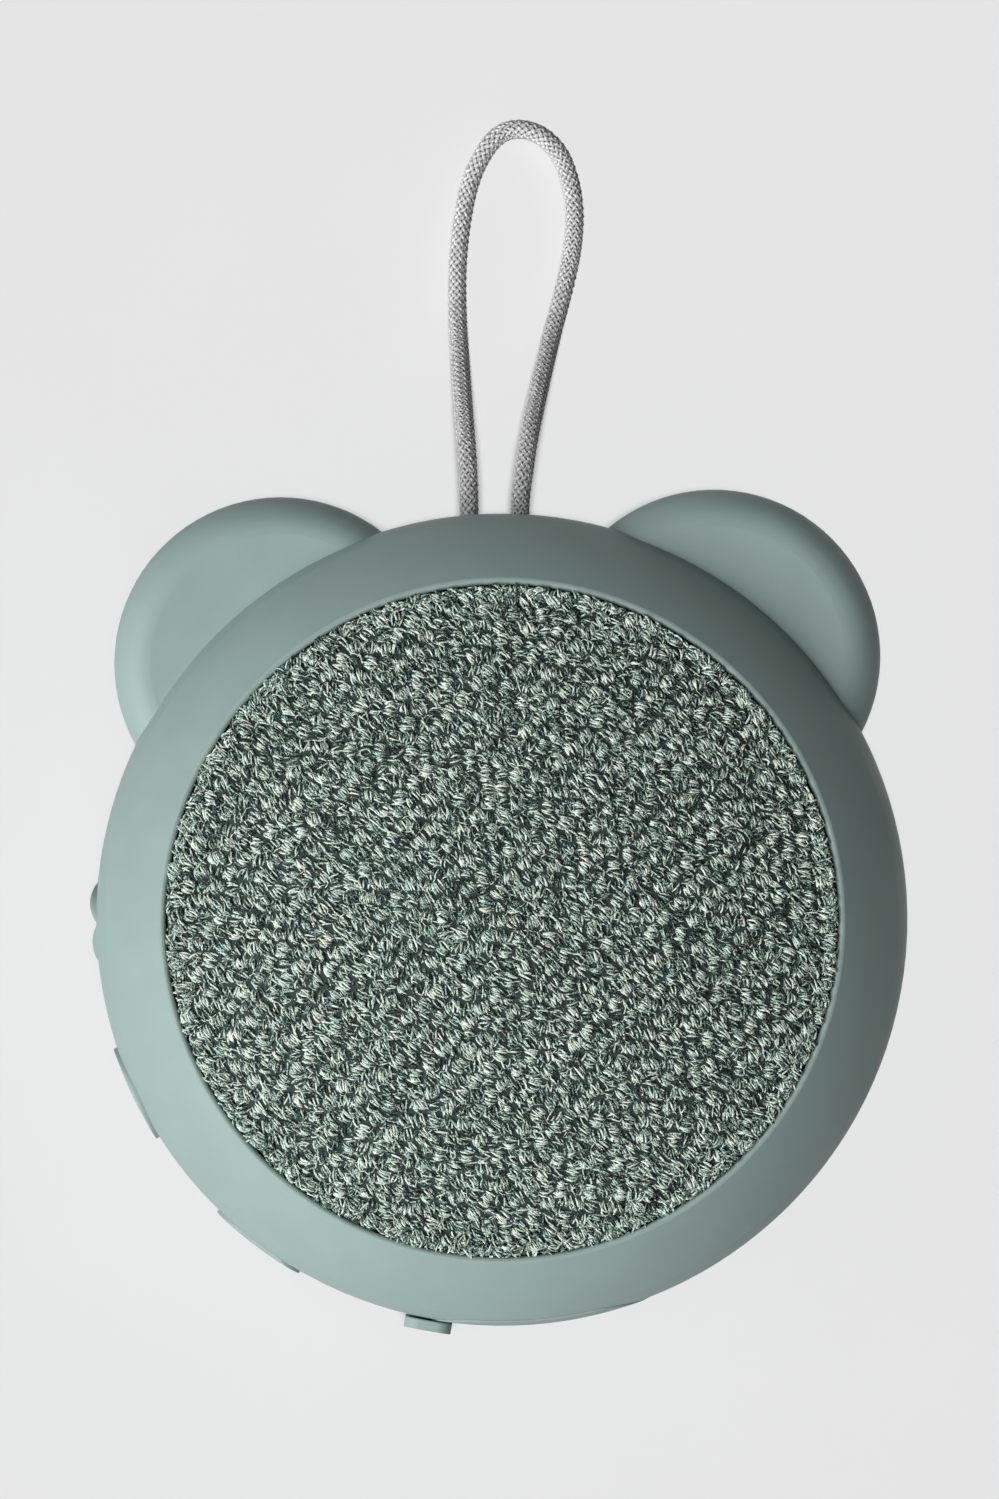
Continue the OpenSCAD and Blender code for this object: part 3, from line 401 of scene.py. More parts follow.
BLACK_WIRE = Finish("black_wire", (0.022, 0.022, 0.024), (0.012, 0.012, 0.013), size=0.0004, roughness=0.45)
BRACKET_PLASTIC = Finish("bracket_plastic", (0.045, 0.050, 0.049), (0.030, 0.034, 0.033), size=0.0004,
                         roughness=0.6, rounding=0.0002)
FLEX_FILM = Finish("flex_film", (0.50, 0.24, 0.05), (0.36, 0.15, 0.03), Grain.ETCHED, 0.0015,
                   0.00001, 0.35, coat=0.4)
CLEAR_PIPE = Finish("clear_pipe", (0.86, 0.90, 0.89), (0.80, 0.85, 0.84), size=0.0006, depth=0.000004,
                    roughness=0.2, clear=0.9)

MELANGE = ((0.0, (0.84, 0.97, 1.10)), (0.15, (0.92, 1.0, 0.99)), (0.75, (0.98, 1.0, 1.0)),
           (0.93, (1.02, 0.99, 0.97)), (1.0, (1.12, 0.99, 0.90)))
PALE_YARN = YarnFinish("pale_yarn", (
    (0.00, (0.014, 0.028, 0.026)), (0.17, (0.162, 0.238, 0.207)), (0.40, (0.464, 0.590, 0.507)),
    (0.65, (0.778, 0.885, 0.762)), (0.95, (0.960, 0.985, 0.900))), MELANGE, 0.15, 0.00019, 0.46)
MARLED_YARN = YarnFinish("marled_yarn", (
    (0.07, (0.004, 0.010, 0.010)), (0.28, (0.060, 0.106, 0.095)), (0.50, (0.245, 0.360, 0.311)),
    (0.74, (0.614, 0.742, 0.628)), (0.97, (0.920, 0.955, 0.855))), MELANGE, 0.10, 0.00019, 0.46)
LOOSE_YARN = YarnFinish("loose_yarn", (
    (0.20, (0.004, 0.008, 0.008)), (0.44, (0.020, 0.036, 0.034)), (0.58, (0.260, 0.355, 0.305)),
    (0.76, (0.680, 0.770, 0.670)), (0.95, (0.900, 0.930, 0.840))), MELANGE, 0.1, 0.00026, 0.15)
# The darker end of these marks falls mostly where a yarn dives under the other set, as painted shade.
CORD_YARN = YarnFinish("cord_yarn", (
    (0.20, (0.120, 0.120, 0.120)), (0.45, (0.290, 0.290, 0.290)), (0.66, (0.710, 0.710, 0.708)),
    (0.82, (0.960, 0.960, 0.955))), evenness=0.2, fibre=0.0001, streak=0.10, depth=0.00002)
CORD_CORE = Finish("cord_core", (0.090, 0.090, 0.090), (0.050, 0.050, 0.050), Grain.FIBROUS, 0.0004,
                   0.00003, 0.9)
BACKING_CLOTH = Finish("backing_cloth", (0.030, 0.050, 0.047), (0.004, 0.008, 0.008), Grain.FIBROUS,
                       0.0003, 0.00010, 0.9)


def dress(finish: Finish, *names: str) -> None:
    """Gives CAD nodes a finish.

    Args:
        finish: The finish.
        names: The nodes' names.
    """
    for name in names:
        for slot in frame["nodes"][name].material_slots:
            slot.material = finish.build()
        log.info("%s wears %s", name, finish.name)


class GeometryTree(Nodes):
    """A geometry node tree with named inputs."""

    def __init__(self, name: str) -> None:
        """Starts the tree.

        Args:
            name: The tree's name.
        """
        super().__init__(bpy.data.node_groups.new(name, "GeometryNodeTree"))
        for way in ("INPUT", "OUTPUT"):
            self.tree.interface.new_socket("Geometry", in_out=way, socket_type="NodeSocketGeometry")
        self.entry = self.tree.nodes.new("NodeGroupInput")
        self.way_out = self.tree.nodes.new("NodeGroupOutput")
        self.values: dict[str, object] = {}
        self.geometry = self.entry.outputs["Geometry"]

    def size(self, name: str, value: object, kind: str = "NodeSocketFloat") -> Socket:
        """Adds a named input on its first use.

        Args:
            name: The input's name.
            value: The value that the modifier gets.
            kind: The socket's type.

        Returns:
            The socket inside the tree.
        """
        if name not in self.entry.outputs:
            socket = self.tree.interface.new_socket(name, in_out="INPUT", socket_type=kind)
            self.values[socket.identifier] = value
        return self.entry.outputs[name]

    def sizes(self, source: object, *names: str) -> list[Socket]:
        """Returns a named input for each of some fields of a class."""
        return [self.size(name, getattr(source, name)) for name in names]

    def count(self, name: str, value: int) -> Socket:
        """Returns a named input for a whole number."""
        return self.size(name, value, "NodeSocketInt")

    def vector(self, operation: str, *terms: object) -> Socket:
        """Returns the vector from one step of vector arithmetic."""
        return self.add("ShaderNodeVectorMath", {"operation": operation}, dict(enumerate(terms))).outputs[0]

    def combined(self, x: object = 0.0, y: object = 0.0, z: object = 0.0) -> Socket:
        """Returns a vector from three numbers or sockets."""
        return self.add("ShaderNodeCombineXYZ", None, {0: x, 1: y, 2: z}).outputs[0]

    def chance(self, low: object, high: object, seed: object, kind: str = "FLOAT") -> Socket:
        """Returns a random FLOAT or FLOAT_VECTOR for each element."""
        limits = {"Min": low, "Max": high, "Seed": seed}
        return shown(self.add("FunctionNodeRandomValue", {"data_type": kind}, limits).outputs)[0]

    def moved(self, geometry: Socket, **how: object) -> Socket:
        """Returns points or curves moved to a Position, by an Offset or both."""
        return self.add("GeometryNodeSetPosition", None, {"Geometry": geometry, **how}).outputs[0]

    def tube(self, curve: Socket, sides: int, radius: object, taper: object = 1.0,
             capped: bool = True) -> Socket:
        """Returns a tube along a curve, with a taper that scales its radius."""
        profile = self.add("GeometryNodeCurvePrimitiveCircle", None, {
            "Resolution": sides, "Radius": radius}).outputs[0]
        return self.add("GeometryNodeCurveToMesh", None, {
            "Curve": curve, "Profile Curve": profile, "Scale": taper, "Fill Caps": capped}).outputs[0]

    def keep(self, geometry: Socket, name: str, value: object,
             domain: str = "POINT") -> Socket:
        """Returns the geometry with a number stored on it by name."""
        return self.add("GeometryNodeStoreNamedAttribute", {"data_type": "FLOAT", "domain": domain}, {
            "Geometry": geometry, "Name": name, "Value": value}).outputs[0]

    def kept(self, name: str) -> Socket:
        """Returns the socket that reads a stored number."""
        node = self.add("GeometryNodeInputNamedAttribute", {"data_type": "FLOAT"}, {"Name": name})
        return node.outputs["Attribute"]

    def close(self, geometry: Socket, material: bpy.types.Material) -> None:
        """Ends the tree in real, smooth faces of one material.

        Args:
            geometry: The geometry's socket.
            material: The finish of the result.
        """
        worn = self.size("Finish", material, "NodeSocketMaterial")
        real = self.add("GeometryNodeRealizeInstances", None, {"Geometry": geometry}).outputs[0]
        smooth = self.add("GeometryNodeSetShadeSmooth", None, {"Geometry": real}).outputs[0]
        dressed = self.add("GeometryNodeSetMaterial", None, {"Geometry": smooth, "Material": worn}).outputs[0]
        self.link(self.way_out.inputs["Geometry"], dressed)

    def settle(self, source: bpy.types.Object, name: str) -> bpy.types.Object:
        """Runs the tree on an object and keeps the result as a plain mesh.

        Args:
            source: The object that the tree starts from.
            name: The finished piece's name.

        Returns:
            The piece, in the scene, with no modifier.
        """
        modifier = source.modifiers.new(self.tree.name, "NODES")
        modifier.node_group = self.tree
        for identifier, value in self.values.items():
            modifier[identifier] = value
        graph = bpy.context.evaluated_depsgraph_get()
        mesh = bpy.data.meshes.new_from_object(source.evaluated_get(graph), preserve_all_data_layers=True,
                                               depsgraph=graph)
        source.modifiers.remove(modifier)
        return placed(name, mesh)


@dataclass
class Studio:
    """The camera, the soft lights and the pale floor."""

    sensor: float = 36.0
    distance: float = 1.2
    plane: float = 0.0208
    centre: tuple[float, float] = (0.00006, 0.0182)
    view_height: float = 0.1612
    roll: float = math.radians(-1.0)
    key_strength: float = 3.93
    key_turn: float = math.radians(207)
    key_tilt: float = math.radians(46)
    key_spread: float = math.radians(70)
    from_above: float = 0.071
    from_below: float = 0.188
    horizon: float = 0.15
    backdrop: float = 0.79
    floor_colour: float = 0.80
    floor_mottle: float = 0.004
    floor_half: float = 3.0
    floor_strength: float = 2.85
    floor_spread: float = math.radians(5)

    def camera(self) -> None:
        """Sets up the camera that looks straight down at the speaker."""
        data = bpy.data.cameras.new("camera")
        data.sensor_width = self.sensor
        data.lens = self.sensor * self.distance / self.view_height
        data.clip_start, data.clip_end = 0.05, 10
        camera = placed("camera", data)
        camera.location = (*self.centre, self.plane + self.distance)
        camera.rotation_euler = (0, 0, self.roll)
        bpy.context.scene.camera = camera
        log.info("camera %.3f m above the widest part", self.distance)

    def sky(self) -> bpy.types.World:
        """The surroundings, whose light comes mostly from below, and which the camera sees as plain paper.

        Returns:
            The world.
        """
        world = bpy.data.worlds.new("surroundings")
        world.use_nodes = True
        nodes = Nodes(world.node_tree)
        even = nodes.tree.nodes["Background"]
        where = nodes.add("ShaderNodeTexCoord").outputs["Generated"]
        height = nodes.add("ShaderNodeSeparateXYZ", None, {0: where}).outputs["Z"]
        nodes.link(even.inputs["Color"], nodes.ranged(
            height, self.from_below, self.from_above, -self.horizon, self.horizon))
        pale = nodes.add("ShaderNodeBackground", None, {"Color": (*(self.backdrop,) * 3, 1)}).outputs[0]
        seen = nodes.add("ShaderNodeLightPath").outputs["Is Camera Ray"]
        mix = nodes.add("ShaderNodeMixShader", None, {0: seen, 1: even.outputs[0], 2: pale}).outputs[0]
        nodes.link(nodes.tree.nodes["World Output"].inputs["Surface"], mix)
        return world

    def lights(self, floor: bpy.types.Object) -> None:
        """Sets up the surroundings, the low key light and the light on the floor.

        Args:
            floor: The floor, which the key light leaves alone.
        """
        bpy.context.scene.view_settings.view_transform = "Standard"
        bpy.context.scene.world = self.sky()
        towards = Vector((math.cos(self.key_turn) * math.sin(self.key_tilt),
                          math.sin(self.key_turn) * math.sin(self.key_tilt), math.cos(self.key_tilt)))
        key = self.sun("key_light", self.key_strength, self.key_spread, towards)
        overhead = self.sun("floor_light", self.floor_strength, self.floor_spread, Vector((0, 0, 1)))
        for light, state in ((key, "EXCLUDE"), (overhead, "INCLUDE")):
            group = bpy.data.collections.new(light.name)
            group.objects.link(floor)
            group.collection_objects[0].light_linking.link_state = state
            light.light_linking.receiver_collection = group
        log.info("key light and floor light set")

    def sun(self, name: str, strength: float, spread: float, towards: Vector) -> bpy.types.Object:
        """Adds a soft parallel light.

        Args:
            name: The light's name.
            strength: Its strength.
            spread: The angle that it fills in the sky, in radians.
            towards: The direction from the object to the light.

        Returns:
            The light.
        """
        data = bpy.data.lights.new(name, "SUN")
        data.energy, data.angle = strength, spread
        light = placed(name, data)
        light.rotation_euler = towards.to_track_quat("Z", "Y").to_euler()
        return light

    def floor(self) -> bpy.types.Object:
        """Lays the plain pale floor.

        Returns:
            The floor.
        """
        mesh = bpy.data.meshes.new("floor")
        far = self.floor_half
        mesh.from_pydata([(-far, -far, 0), (far, -far, 0), (far, far, 0), (-far, far, 0)], [], [(0, 1, 2, 3)])
        floor = placed("floor", mesh)
        floor.visible_diffuse = False
        shading = Shading("floor_paper")
        dark, light = ((self.floor_colour + sign * self.floor_mottle,) * 3 for sign in (-1, 1))
        shading.feed({
            "Base Color": shading.stops(shading.noise(0.02, 4), [(0.3, dark), (0.7, light)]),
            "Roughness": 0.95, "Specular IOR Level": 0.0})
        mesh.materials.append(shading.material)
        return floor


@dataclass
class HangingLoop:
    """The braided loop, from behind the wall, round on the table and back behind the wall.

    Its points are the part's own. They were measured as if they lay as high as the widest part, and
    the camera sees what lies lower smaller, so between the holes each is moved out to where it shows.
    """

    studio: Studio
    diameter: float = 0.002
    carriers: int = 8
    lay: float = 0.0066
    yarn: float = 0.00013
    middle: float = 0.00087
    crossing: float = 0.000080
    apart: float = 1.4
    bedding: float = 0.4
    fuzz: float = 0.0004
    fuzz_share: float = 0.3
    # Share of a yarn's colour that is painted shade where it dives under the other set.
    crossing_shade_share: float = 0.7
    tones: tuple[float, float] = (0.45, 1.0)
    yarn_sides: int = 5
    core_sides: int = 12
    seed: int = 7
    step: float = 0.00045
    points: tuple[Point, ...] = (
        (-2.75, 40.9, 17), (-2.75, 44.5, 17), (-2.8, 48, 16.6), (-2.95, 51.5, 14.7), (-3.15, 54.5, 11.9),
        (-3.3, 57.5, 8.5), (-3.45, 60.5, 5.2), (-3.6, 63.5, 2.7), (-3.65, 67, 1.4), (-3.5, 71, 1.1),
        (-3, 75, 1.1), (-2.1, 79, 1.1), (-0.6, 82.3, 1.1), (1.2, 84.3, 1.1), (3.35, 84.9, 1.1),
        (5.6, 84.2, 1.1), (7.5, 82.3, 1.1), (8.6, 79.6, 1.1), (9.1, 76.2, 1.1), (8.9, 72.5, 1.1),
        (8.2, 69, 1.2), (7.4, 66, 1.6), (6.6, 63.2, 2.9), (5.9, 60.5, 5.2), (5.15, 57.5, 8.5),
        (4.45, 54.5, 11.9), (3.8, 51.5, 14.7), (3.2, 48, 16.6), (2.75, 44.5, 17), (2.75, 40.9, 17))

    def seen(self, x: float, y: float, z: float) -> Point:
        """Moves a point out from the middle of the view, for how far it lies below the widest part.

        Args:
            x: The measured point's X, in millimetres.
            y: Its Y.
            z: Its height.

        Returns:
            The point where the camera sees it, to a hundredth of a millimetre.
        """
        right, up = (1000 * middle for middle in self.studio.centre)
        away = 1 + (1000 * self.studio.plane - z) / (1000 * self.studio.distance)
        return round(right + (x - right) * away, 2), round(up + (y - up) * away, 2), z

    def line(self) -> list[Vector]:
        """The cord's smooth centreline.

        Returns:
            Its points, less than half a millimetre apart.
        """
        first, *free, last = self.points
        knots = [Vector(p) / 1000 for p in (first, *(self.seen(*p) for p in free), last)]
        knots = [2 * knots[0] - knots[1], *knots, 2 * knots[-1] - knots[-2]]
        line = []
        for a, b, c, d in zip(knots, knots[1:], knots[2:], knots[3:]):
            steps = max(2, math.ceil((c - b).length / self.step))
            for k in range(steps):
                t = k / steps
                line.append(0.5 * (2 * b + (c - a) * t + (2 * a - 5 * b + 4 * c - d) * t ** 2
                                   + (3 * b - a - 3 * c + d) * t ** 3))
        return [*line, knots[-2]]

    def curve(self, line: list[Vector]) -> bpy.types.Object:
        """A curve along the centreline, which the yarns follow.

        Args:
            line: The centreline's points.

        Returns:
            The curve object.
        """
        data = bpy.data.curves.new("loop_line", "CURVE")
        data.dimensions = "3D"
        spline = data.splines.new("POLY")
        spline.points.add(len(line) - 1)
        for point, place in zip(spline.points, line):
            point.co = (*place, 1)
        return placed("loop_line", data)

    def braid(self) -> GeometryTree:
        """The tree that lays two sets of yarns round the line, each over one and under one.

        Returns:
            The tree.
        """
        tree = GeometryTree("braid")
        carriers = tree.count("carriers", self.carriers)
        lay, yarn, middle, crossing, apart = tree.sizes(self, "lay", "yarn", "middle", "crossing", "apart")
        every = tree.add("GeometryNodeDuplicateElements", {"domain": "SPLINE"}, {
            "Geometry": tree.geometry, "Amount": tree.times(carriers, 4)})
        number = every.outputs["Duplicate Index"]
        way = tree.minus(tree.times(tree.maths("MODULO", number, 2), 2), 1)
        pair = tree.maths("MODULO", tree.maths("FLOOR", tree.divided(number, 2)), 2)
        carrier = tree.maths("FLOOR", tree.divided(number, 4))
        along = tree.add("GeometryNodeSplineParameter").outputs["Length"]
        turn = tree.times(way, tree.times(tree.divided(along, lay), math.tau))
        place = tree.times(tree.divided(carrier, carriers), math.tau)
        beside = tree.times(tree.minus(pair, 0.5), tree.divided(tree.times(yarn, apart), middle))
        angle = tree.plus(tree.plus(turn, place), beside)
        over = tree.times(way, tree.maths("COSINE", tree.times(angle, carriers)))
        radius = tree.plus(middle, tree.times(crossing, over))
        normal = tree.add("GeometryNodeInputNormal").outputs[0]
        side = tree.vector("CROSS_PRODUCT", tree.add("GeometryNodeInputTangent").outputs[0], normal)
        outward = tree.vector("ADD", tree.vector("SCALE", normal, tree.maths("COSINE", angle)),
                              tree.vector("SCALE", side, tree.maths("SINE", angle)))
        yarns = tree.moved(tree.keep(every.outputs["Geometry"], "over", over),
                           Offset=tree.vector("SCALE", outward, radius))
        yarns = tree.keep(yarns, "tone", tree.chance(*self.tones, tree.count("seed", self.seed)), "CURVE")
        mesh = tree.tube(yarns, self.yarn_sides, yarn)
        fuzz = tree.add("ShaderNodeTexNoise", None, {"Scale": 1 / self.fuzz}).outputs[0]
        # Painted shade: each yarn's colour darkens where it dives under the other set, added to random fuzz
        # in its tone.
        crossing_shade = tree.plus(tree.kept("over"), 1)
        tint = tree.plus(tree.times(fuzz, self.fuzz_share), tree.times(crossing_shade, self.crossing_shade_share / 2))
        tree.close(tree.keep(mesh, "tint", tint), CORD_YARN.build())
        return tree

    def core(self, line: list[Vector]) -> bpy.types.Object:
        """The dark core that shows between the yarns.

        Args:
            line: The centreline's points.

        Returns:
            The core as a mesh.
        """
        tree = GeometryTree("core")
        radius = tree.size("radius", self.middle - self.bedding * self.yarn)
        tree.close(tree.tube(tree.geometry, self.core_sides, radius), CORD_CORE.build())
        return tree.settle(self.curve(line), "loop_core")

    def build(self) -> None:
        line = self.line()
        guide = self.curve(line)
        yarns = self.braid().settle(guide, "loop_braid")
        core = self.core(line)
        for used in [o for o in bpy.data.objects if o.name.startswith("loop_line")]:
            bpy.data.objects.remove(used)
        cord = joined("hanging_loop", yarns, core)
        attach(cord, "housing")
        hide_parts("hanging_cord")
        dress(ZINC_STEEL, "cord_crimp")


def joined(name: str, *parts: bpy.types.Object) -> bpy.types.Object:
    """Joins meshes into one piece, each with its own finish and attributes.

    Args:
        name: The piece's name.
        parts: The meshes, which are used up.

    Returns:
        The joined piece.
    """
    with bpy.context.temp_override(active_object=parts[0], selected_editable_objects=list(parts)):
        bpy.ops.object.join()
    parts[0].name = parts[0].data.name = name
    return parts[0]


@dataclass(frozen=True)
class Tuft:
    """One kind of tuft in the cloth, as a bundle of short strands.

    The tufts stand in the cloth's rows, or as many as round_edge says stand round its edge.
    """

    name: str
    finish: YarnFinish
    seed: int
    start: float
    slant: float
    spread: float
    strands: int
    length: float
    width: float
    girth: float
    rise: float
    curl: float
    stray: float
    scatter: float
    knots: int = 4
    capped: bool = True
    round_edge: int = 0


@dataclass
class WovenFront:
    """The coarse melange cloth over the domed grille, and what holds it."""

    radius: float = 0.0355
    dome: float = 0.10802
    thickness: float = 0.0008
    sink: float = 0.00030
    column: float = 0.00316
    row: float = 0.00158
    row_tilt: float = math.radians(-4.8)
    lean: float = math.radians(5.2)
    wander: float = 0.0002
    wave_scale: float = 55.0
    jitter: float = 0.00008
    draws: int = 10
    strand_sides: int = 3
    ray_start: float = 0.1
    spare_columns: int = 7
    spare_rows: int = 9
    rim: float = 0.00006
    border: float = 0.00040
    hem: float = 0.00050
    hem_power: int = 24
    slip: float = 0.14
    lengths: tuple[float, float] = (0.78, 1.2)
    bows: tuple[float, float] = (0.85, 1.2)
    inner_bow: float = 0.85
    outer_bow: float = 0.25
    slump: float = 0.55
    arch: float = 1.25
    dip: float = 0.35
    thin_end: float = 0.65
    thick_middle: float = 0.4
    kinds: tuple[Tuft, ...] = (
        Tuft("pale_tufts", PALE_YARN, seed=11, start=0.0, slant=math.radians(-44), spread=0.60, strands=10,
             length=0.00131, width=0.00122, girth=0.00026, rise=0.00048, curl=0.00012, stray=0.38,
             scatter=0.00008),
        Tuft("marled_tufts", MARLED_YARN, seed=23, start=0.5, slant=math.radians(-50), spread=0.98, strands=9,
             length=0.00130, width=0.00148, girth=0.00026, rise=0.00038, curl=0.00012, stray=0.62,
             scatter=0.00016),
        Tuft("loose_fibres", LOOSE_YARN, seed=37, start=0.25, slant=math.radians(-48), spread=1.10,
             strands=12, length=0.00080, width=0.00280, girth=0.00014, rise=0.00046, curl=0.00010,
             stray=1.20, scatter=0.00080, capped=False),
        Tuft("border_tufts", MARLED_YARN, seed=53, start=0.0, slant=0.0, spread=math.pi, strands=8,
             length=0.00110, width=0.00100, girth=0.00024, rise=0.00036, curl=0.00010, stray=0.50,
             scatter=0.00016, round_edge=240))

    def __post_init__(self) -> None:
        """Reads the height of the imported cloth's crown."""
        self.crown = float(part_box("grille_fabric")[1][2])

    def height(self, radius: float, drop: float) -> float:
        """Returns the height, at a radius, of a dome that lies a drop below the cloth's face."""
        return self.crown - self.dome + math.sqrt((self.dome - drop) ** 2 - radius ** 2)

    def backing(self) -> bpy.types.Object:
        """The cloth's closed ground sheet, whose dark weave shows between the yarns.

        Returns:
            The sheet.
        """
        rings, sides = 24, 120
        shell = bmesh.new()
        layers = []
        for drop in (self.sink, self.thickness):
            centre = shell.verts.new((0, 0, self.height(0, drop)))
            circles = [[shell.verts.new((r * math.cos(a), r * math.sin(a), self.height(r, drop)))
                        for a in (math.tau * k / sides for k in range(sides))]
                       for r in (self.radius * (k + 1) / rings for k in range(rings))]
            layers.append((centre, circles))
        for up, (centre, circles) in zip((True, False), layers):
            for k in range(sides):
                n = (k + 1) % sides
                faces = [(centre, circles[0][k], circles[0][n])]
                faces += [(a[k], b[k], b[n], a[n]) for a, b in zip(circles, circles[1:])]
                for face in faces:
                    shell.faces.new(face if up else face[::-1]).smooth = True
        top, bottom = layers[0][1][-1], layers[1][1][-1]
        for k in range(sides):
            n = (k + 1) % sides
            shell.faces.new((top[k], bottom[k], bottom[n], top[n])).smooth = True
        mesh = bpy.data.meshes.new("cloth_ground")
        shell.to_mesh(mesh)
        shell.free()
        mesh.materials.append(BACKING_CLOTH.build())
        return placed("cloth_ground", mesh)

    def lattice(self, tree: GeometryTree, kind: Tuft, seed: Socket) -> Socket:
        """Points in staggered, slightly skewed and wavy rows, wider than the cloth.

        Args:
            tree: The tree that they belong to.
            kind: The kind of tuft that they are for.
            seed: The seed's socket.

        Returns:
            The points' socket.
        """
        columns = tree.count("columns", 2 * math.ceil(self.radius / self.column) + self.spare_columns)
        rows = tree.count("rows", 2 * math.ceil(self.radius / self.row) + self.spare_rows)
        column, row, tilt, lean, wander, jitter = tree.sizes(
            self, "column", "row", "row_tilt", "lean", "wander", "jitter")
        start = tree.size("start", kind.start * self.column)
        grid = tree.add("GeometryNodeMeshGrid", None, {
            "Size X": tree.times(tree.minus(columns, 1), column),
            "Size Y": tree.times(tree.minus(rows, 1), row),
            "Vertices X": columns, "Vertices Y": rows}).outputs[0]
        spots = tree.add("GeometryNodeMeshToPoints", None, {"Mesh": grid}).outputs[0]
        place = tree.add("GeometryNodeInputPosition").outputs[0]
        x, y, _ = tree.add("ShaderNodeSeparateXYZ", None, {0: place}).outputs
        number = tree.maths("ROUND", tree.plus(tree.divided(y, row), FIRST_ROW))
        shift = tree.times(tree.times(tree.maths("MODULO", number, 2), 0.5), column)
        along = tree.plus(tree.plus(x, shift), start)
        skewed = tree.combined(
            tree.minus(tree.times(along, tree.maths("COSINE", tilt)),
                       tree.times(y, tree.maths("SINE", lean))),
            tree.plus(tree.times(along, tree.maths("SINE", tilt)), tree.times(y, tree.maths("COSINE", lean))))
        broad = tree.add("ShaderNodeTexNoise", None, {
            "Vector": place, "Scale": self.wave_scale, "Detail": 1.0}).outputs["Color"]
        twice = tree.times(wander, 2)
        wave = tree.vector("SUBTRACT", broad, (0.5, 0.5, 0.5))
        bend = tree.vector("MULTIPLY", wave, tree.combined(twice, twice))
        shake = self.around(tree, jitter, seed)
        return tree.moved(spots, Position=tree.vector("ADD", tree.vector("ADD", skewed, bend), shake))

    def around(self, tree: GeometryTree, reach: Socket, seed: object) -> Socket:
        """Returns a random flat vector that goes no further than a reach along X and Y."""
        low = tree.times(reach, -1)
        return tree.chance(tree.combined(low, low), tree.combined(reach, reach), seed, "FLOAT_VECTOR")

    def edging(self, tree: GeometryTree, kind: Tuft) -> Socket:
        """Points round the cloth's edge, where the rows leave gaps.

        Args:
            tree: The tree that they belong to.
            kind: The kind of tuft that they are for.

        Returns:
            The points' socket.
        """
        circle = tree.add("GeometryNodeMeshCircle", None, {
            "Vertices": tree.count("round edge", kind.round_edge),
            "Radius": tree.size("border radius", self.radius - self.border)}).outputs[0]
        return tree.add("GeometryNodeMeshToPoints", None, {"Mesh": circle}).outputs[0]

    def bundled(self, tree: GeometryTree, kind: Tuft, spots: Socket, seeds: list[Socket]) -> Socket:
        """Sets the strands of a tuft side by side on each point, across the tuft's own turn.

        Args:
            tree: The tree that they belong to.
            kind: The kind of tuft.
            spots: The points.
            seeds: A seed for each random draw.

        Returns:
            A point for each strand, which knows its tuft's turn and tone, and its side from -1 to 1.
        """
        slant, spread, length, width, scatter = tree.sizes(
            kind, "slant", "spread", "length", "width", "scatter")
        strands = tree.count("strands", kind.strands)
        swing = tree.times(spread, tree.chance(-1.0, 1.0, seeds[1]))
        spots = tree.keep(spots, "turn", tree.plus(slant, swing))
        spots = tree.keep(spots, "tone", tree.chance(0.0, 1.0, seeds[2]))
        every = tree.add("GeometryNodeDuplicateElements", {"domain": "POINT"}, {
            "Geometry": spots, "Amount": strands})
        half = tree.divided(tree.minus(strands, 1), 2)
        side = tree.divided(tree.minus(every.outputs["Duplicate Index"], half), half)
        spots = tree.keep(every.outputs["Geometry"], "side", side)
        along = tree.times(length, tree.chance(-self.slip, self.slip, seeds[3]))
        across = tree.times(tree.times(tree.kept("side"), width), 0.5)
        sine, cosine = (tree.maths(name, tree.kept("turn")) for name in ("SINE", "COSINE"))
        move = tree.combined(
            tree.minus(tree.times(cosine, along), tree.times(sine, across)),
            tree.plus(tree.times(sine, along), tree.times(cosine, across)))
        return tree.moved(spots, Offset=tree.vector("ADD", move, self.around(tree, scatter, seeds[8])))

    def laid(self, tree: GeometryTree, spots: Socket) -> tuple[Socket, Socket]:
        """Lays the points on the cloth, a little raised at its hem, and leaves out those beyond its edge.

        Args:
            tree: The tree that they belong to.
            spots: The points.

        Returns:
            The points on the cloth, and the direction that the cloth faces there.
        """
        edge = tree.size("edge", self.radius - self.rim)
        flat = tree.vector("MULTIPLY", tree.add("GeometryNodeInputPosition").outputs[0], (1.0, 1.0, 0.0))
        reach = shown(tree.add("ShaderNodeVectorMath", {"operation": "LENGTH"}, {0: flat}).outputs)[0]
        spots = tree.add("GeometryNodeDeleteGeometry", {"domain": "POINT"}, {
            "Geometry": spots, "Selection": tree.maths("GREATER_THAN", reach, edge)}).outputs[0]
        ray = tree.add("GeometryNodeRaycast", None, {
            "Target Geometry": tree.geometry,
            "Source Position": tree.vector("ADD", flat, (0.0, 0.0, self.ray_start)),
            "Ray Direction": (0.0, 0.0, -1.0), "Ray Length": 2 * self.ray_start})
        near = tree.maths("POWER", tree.divided(reach, edge), self.hem_power)
        raised = tree.combined(z=tree.times(tree.size("hem", self.hem), near))
        spots = tree.moved(spots, Position=ray.outputs["Hit Position"], Offset=raised)
        return spots, ray.outputs["Hit Normal"]

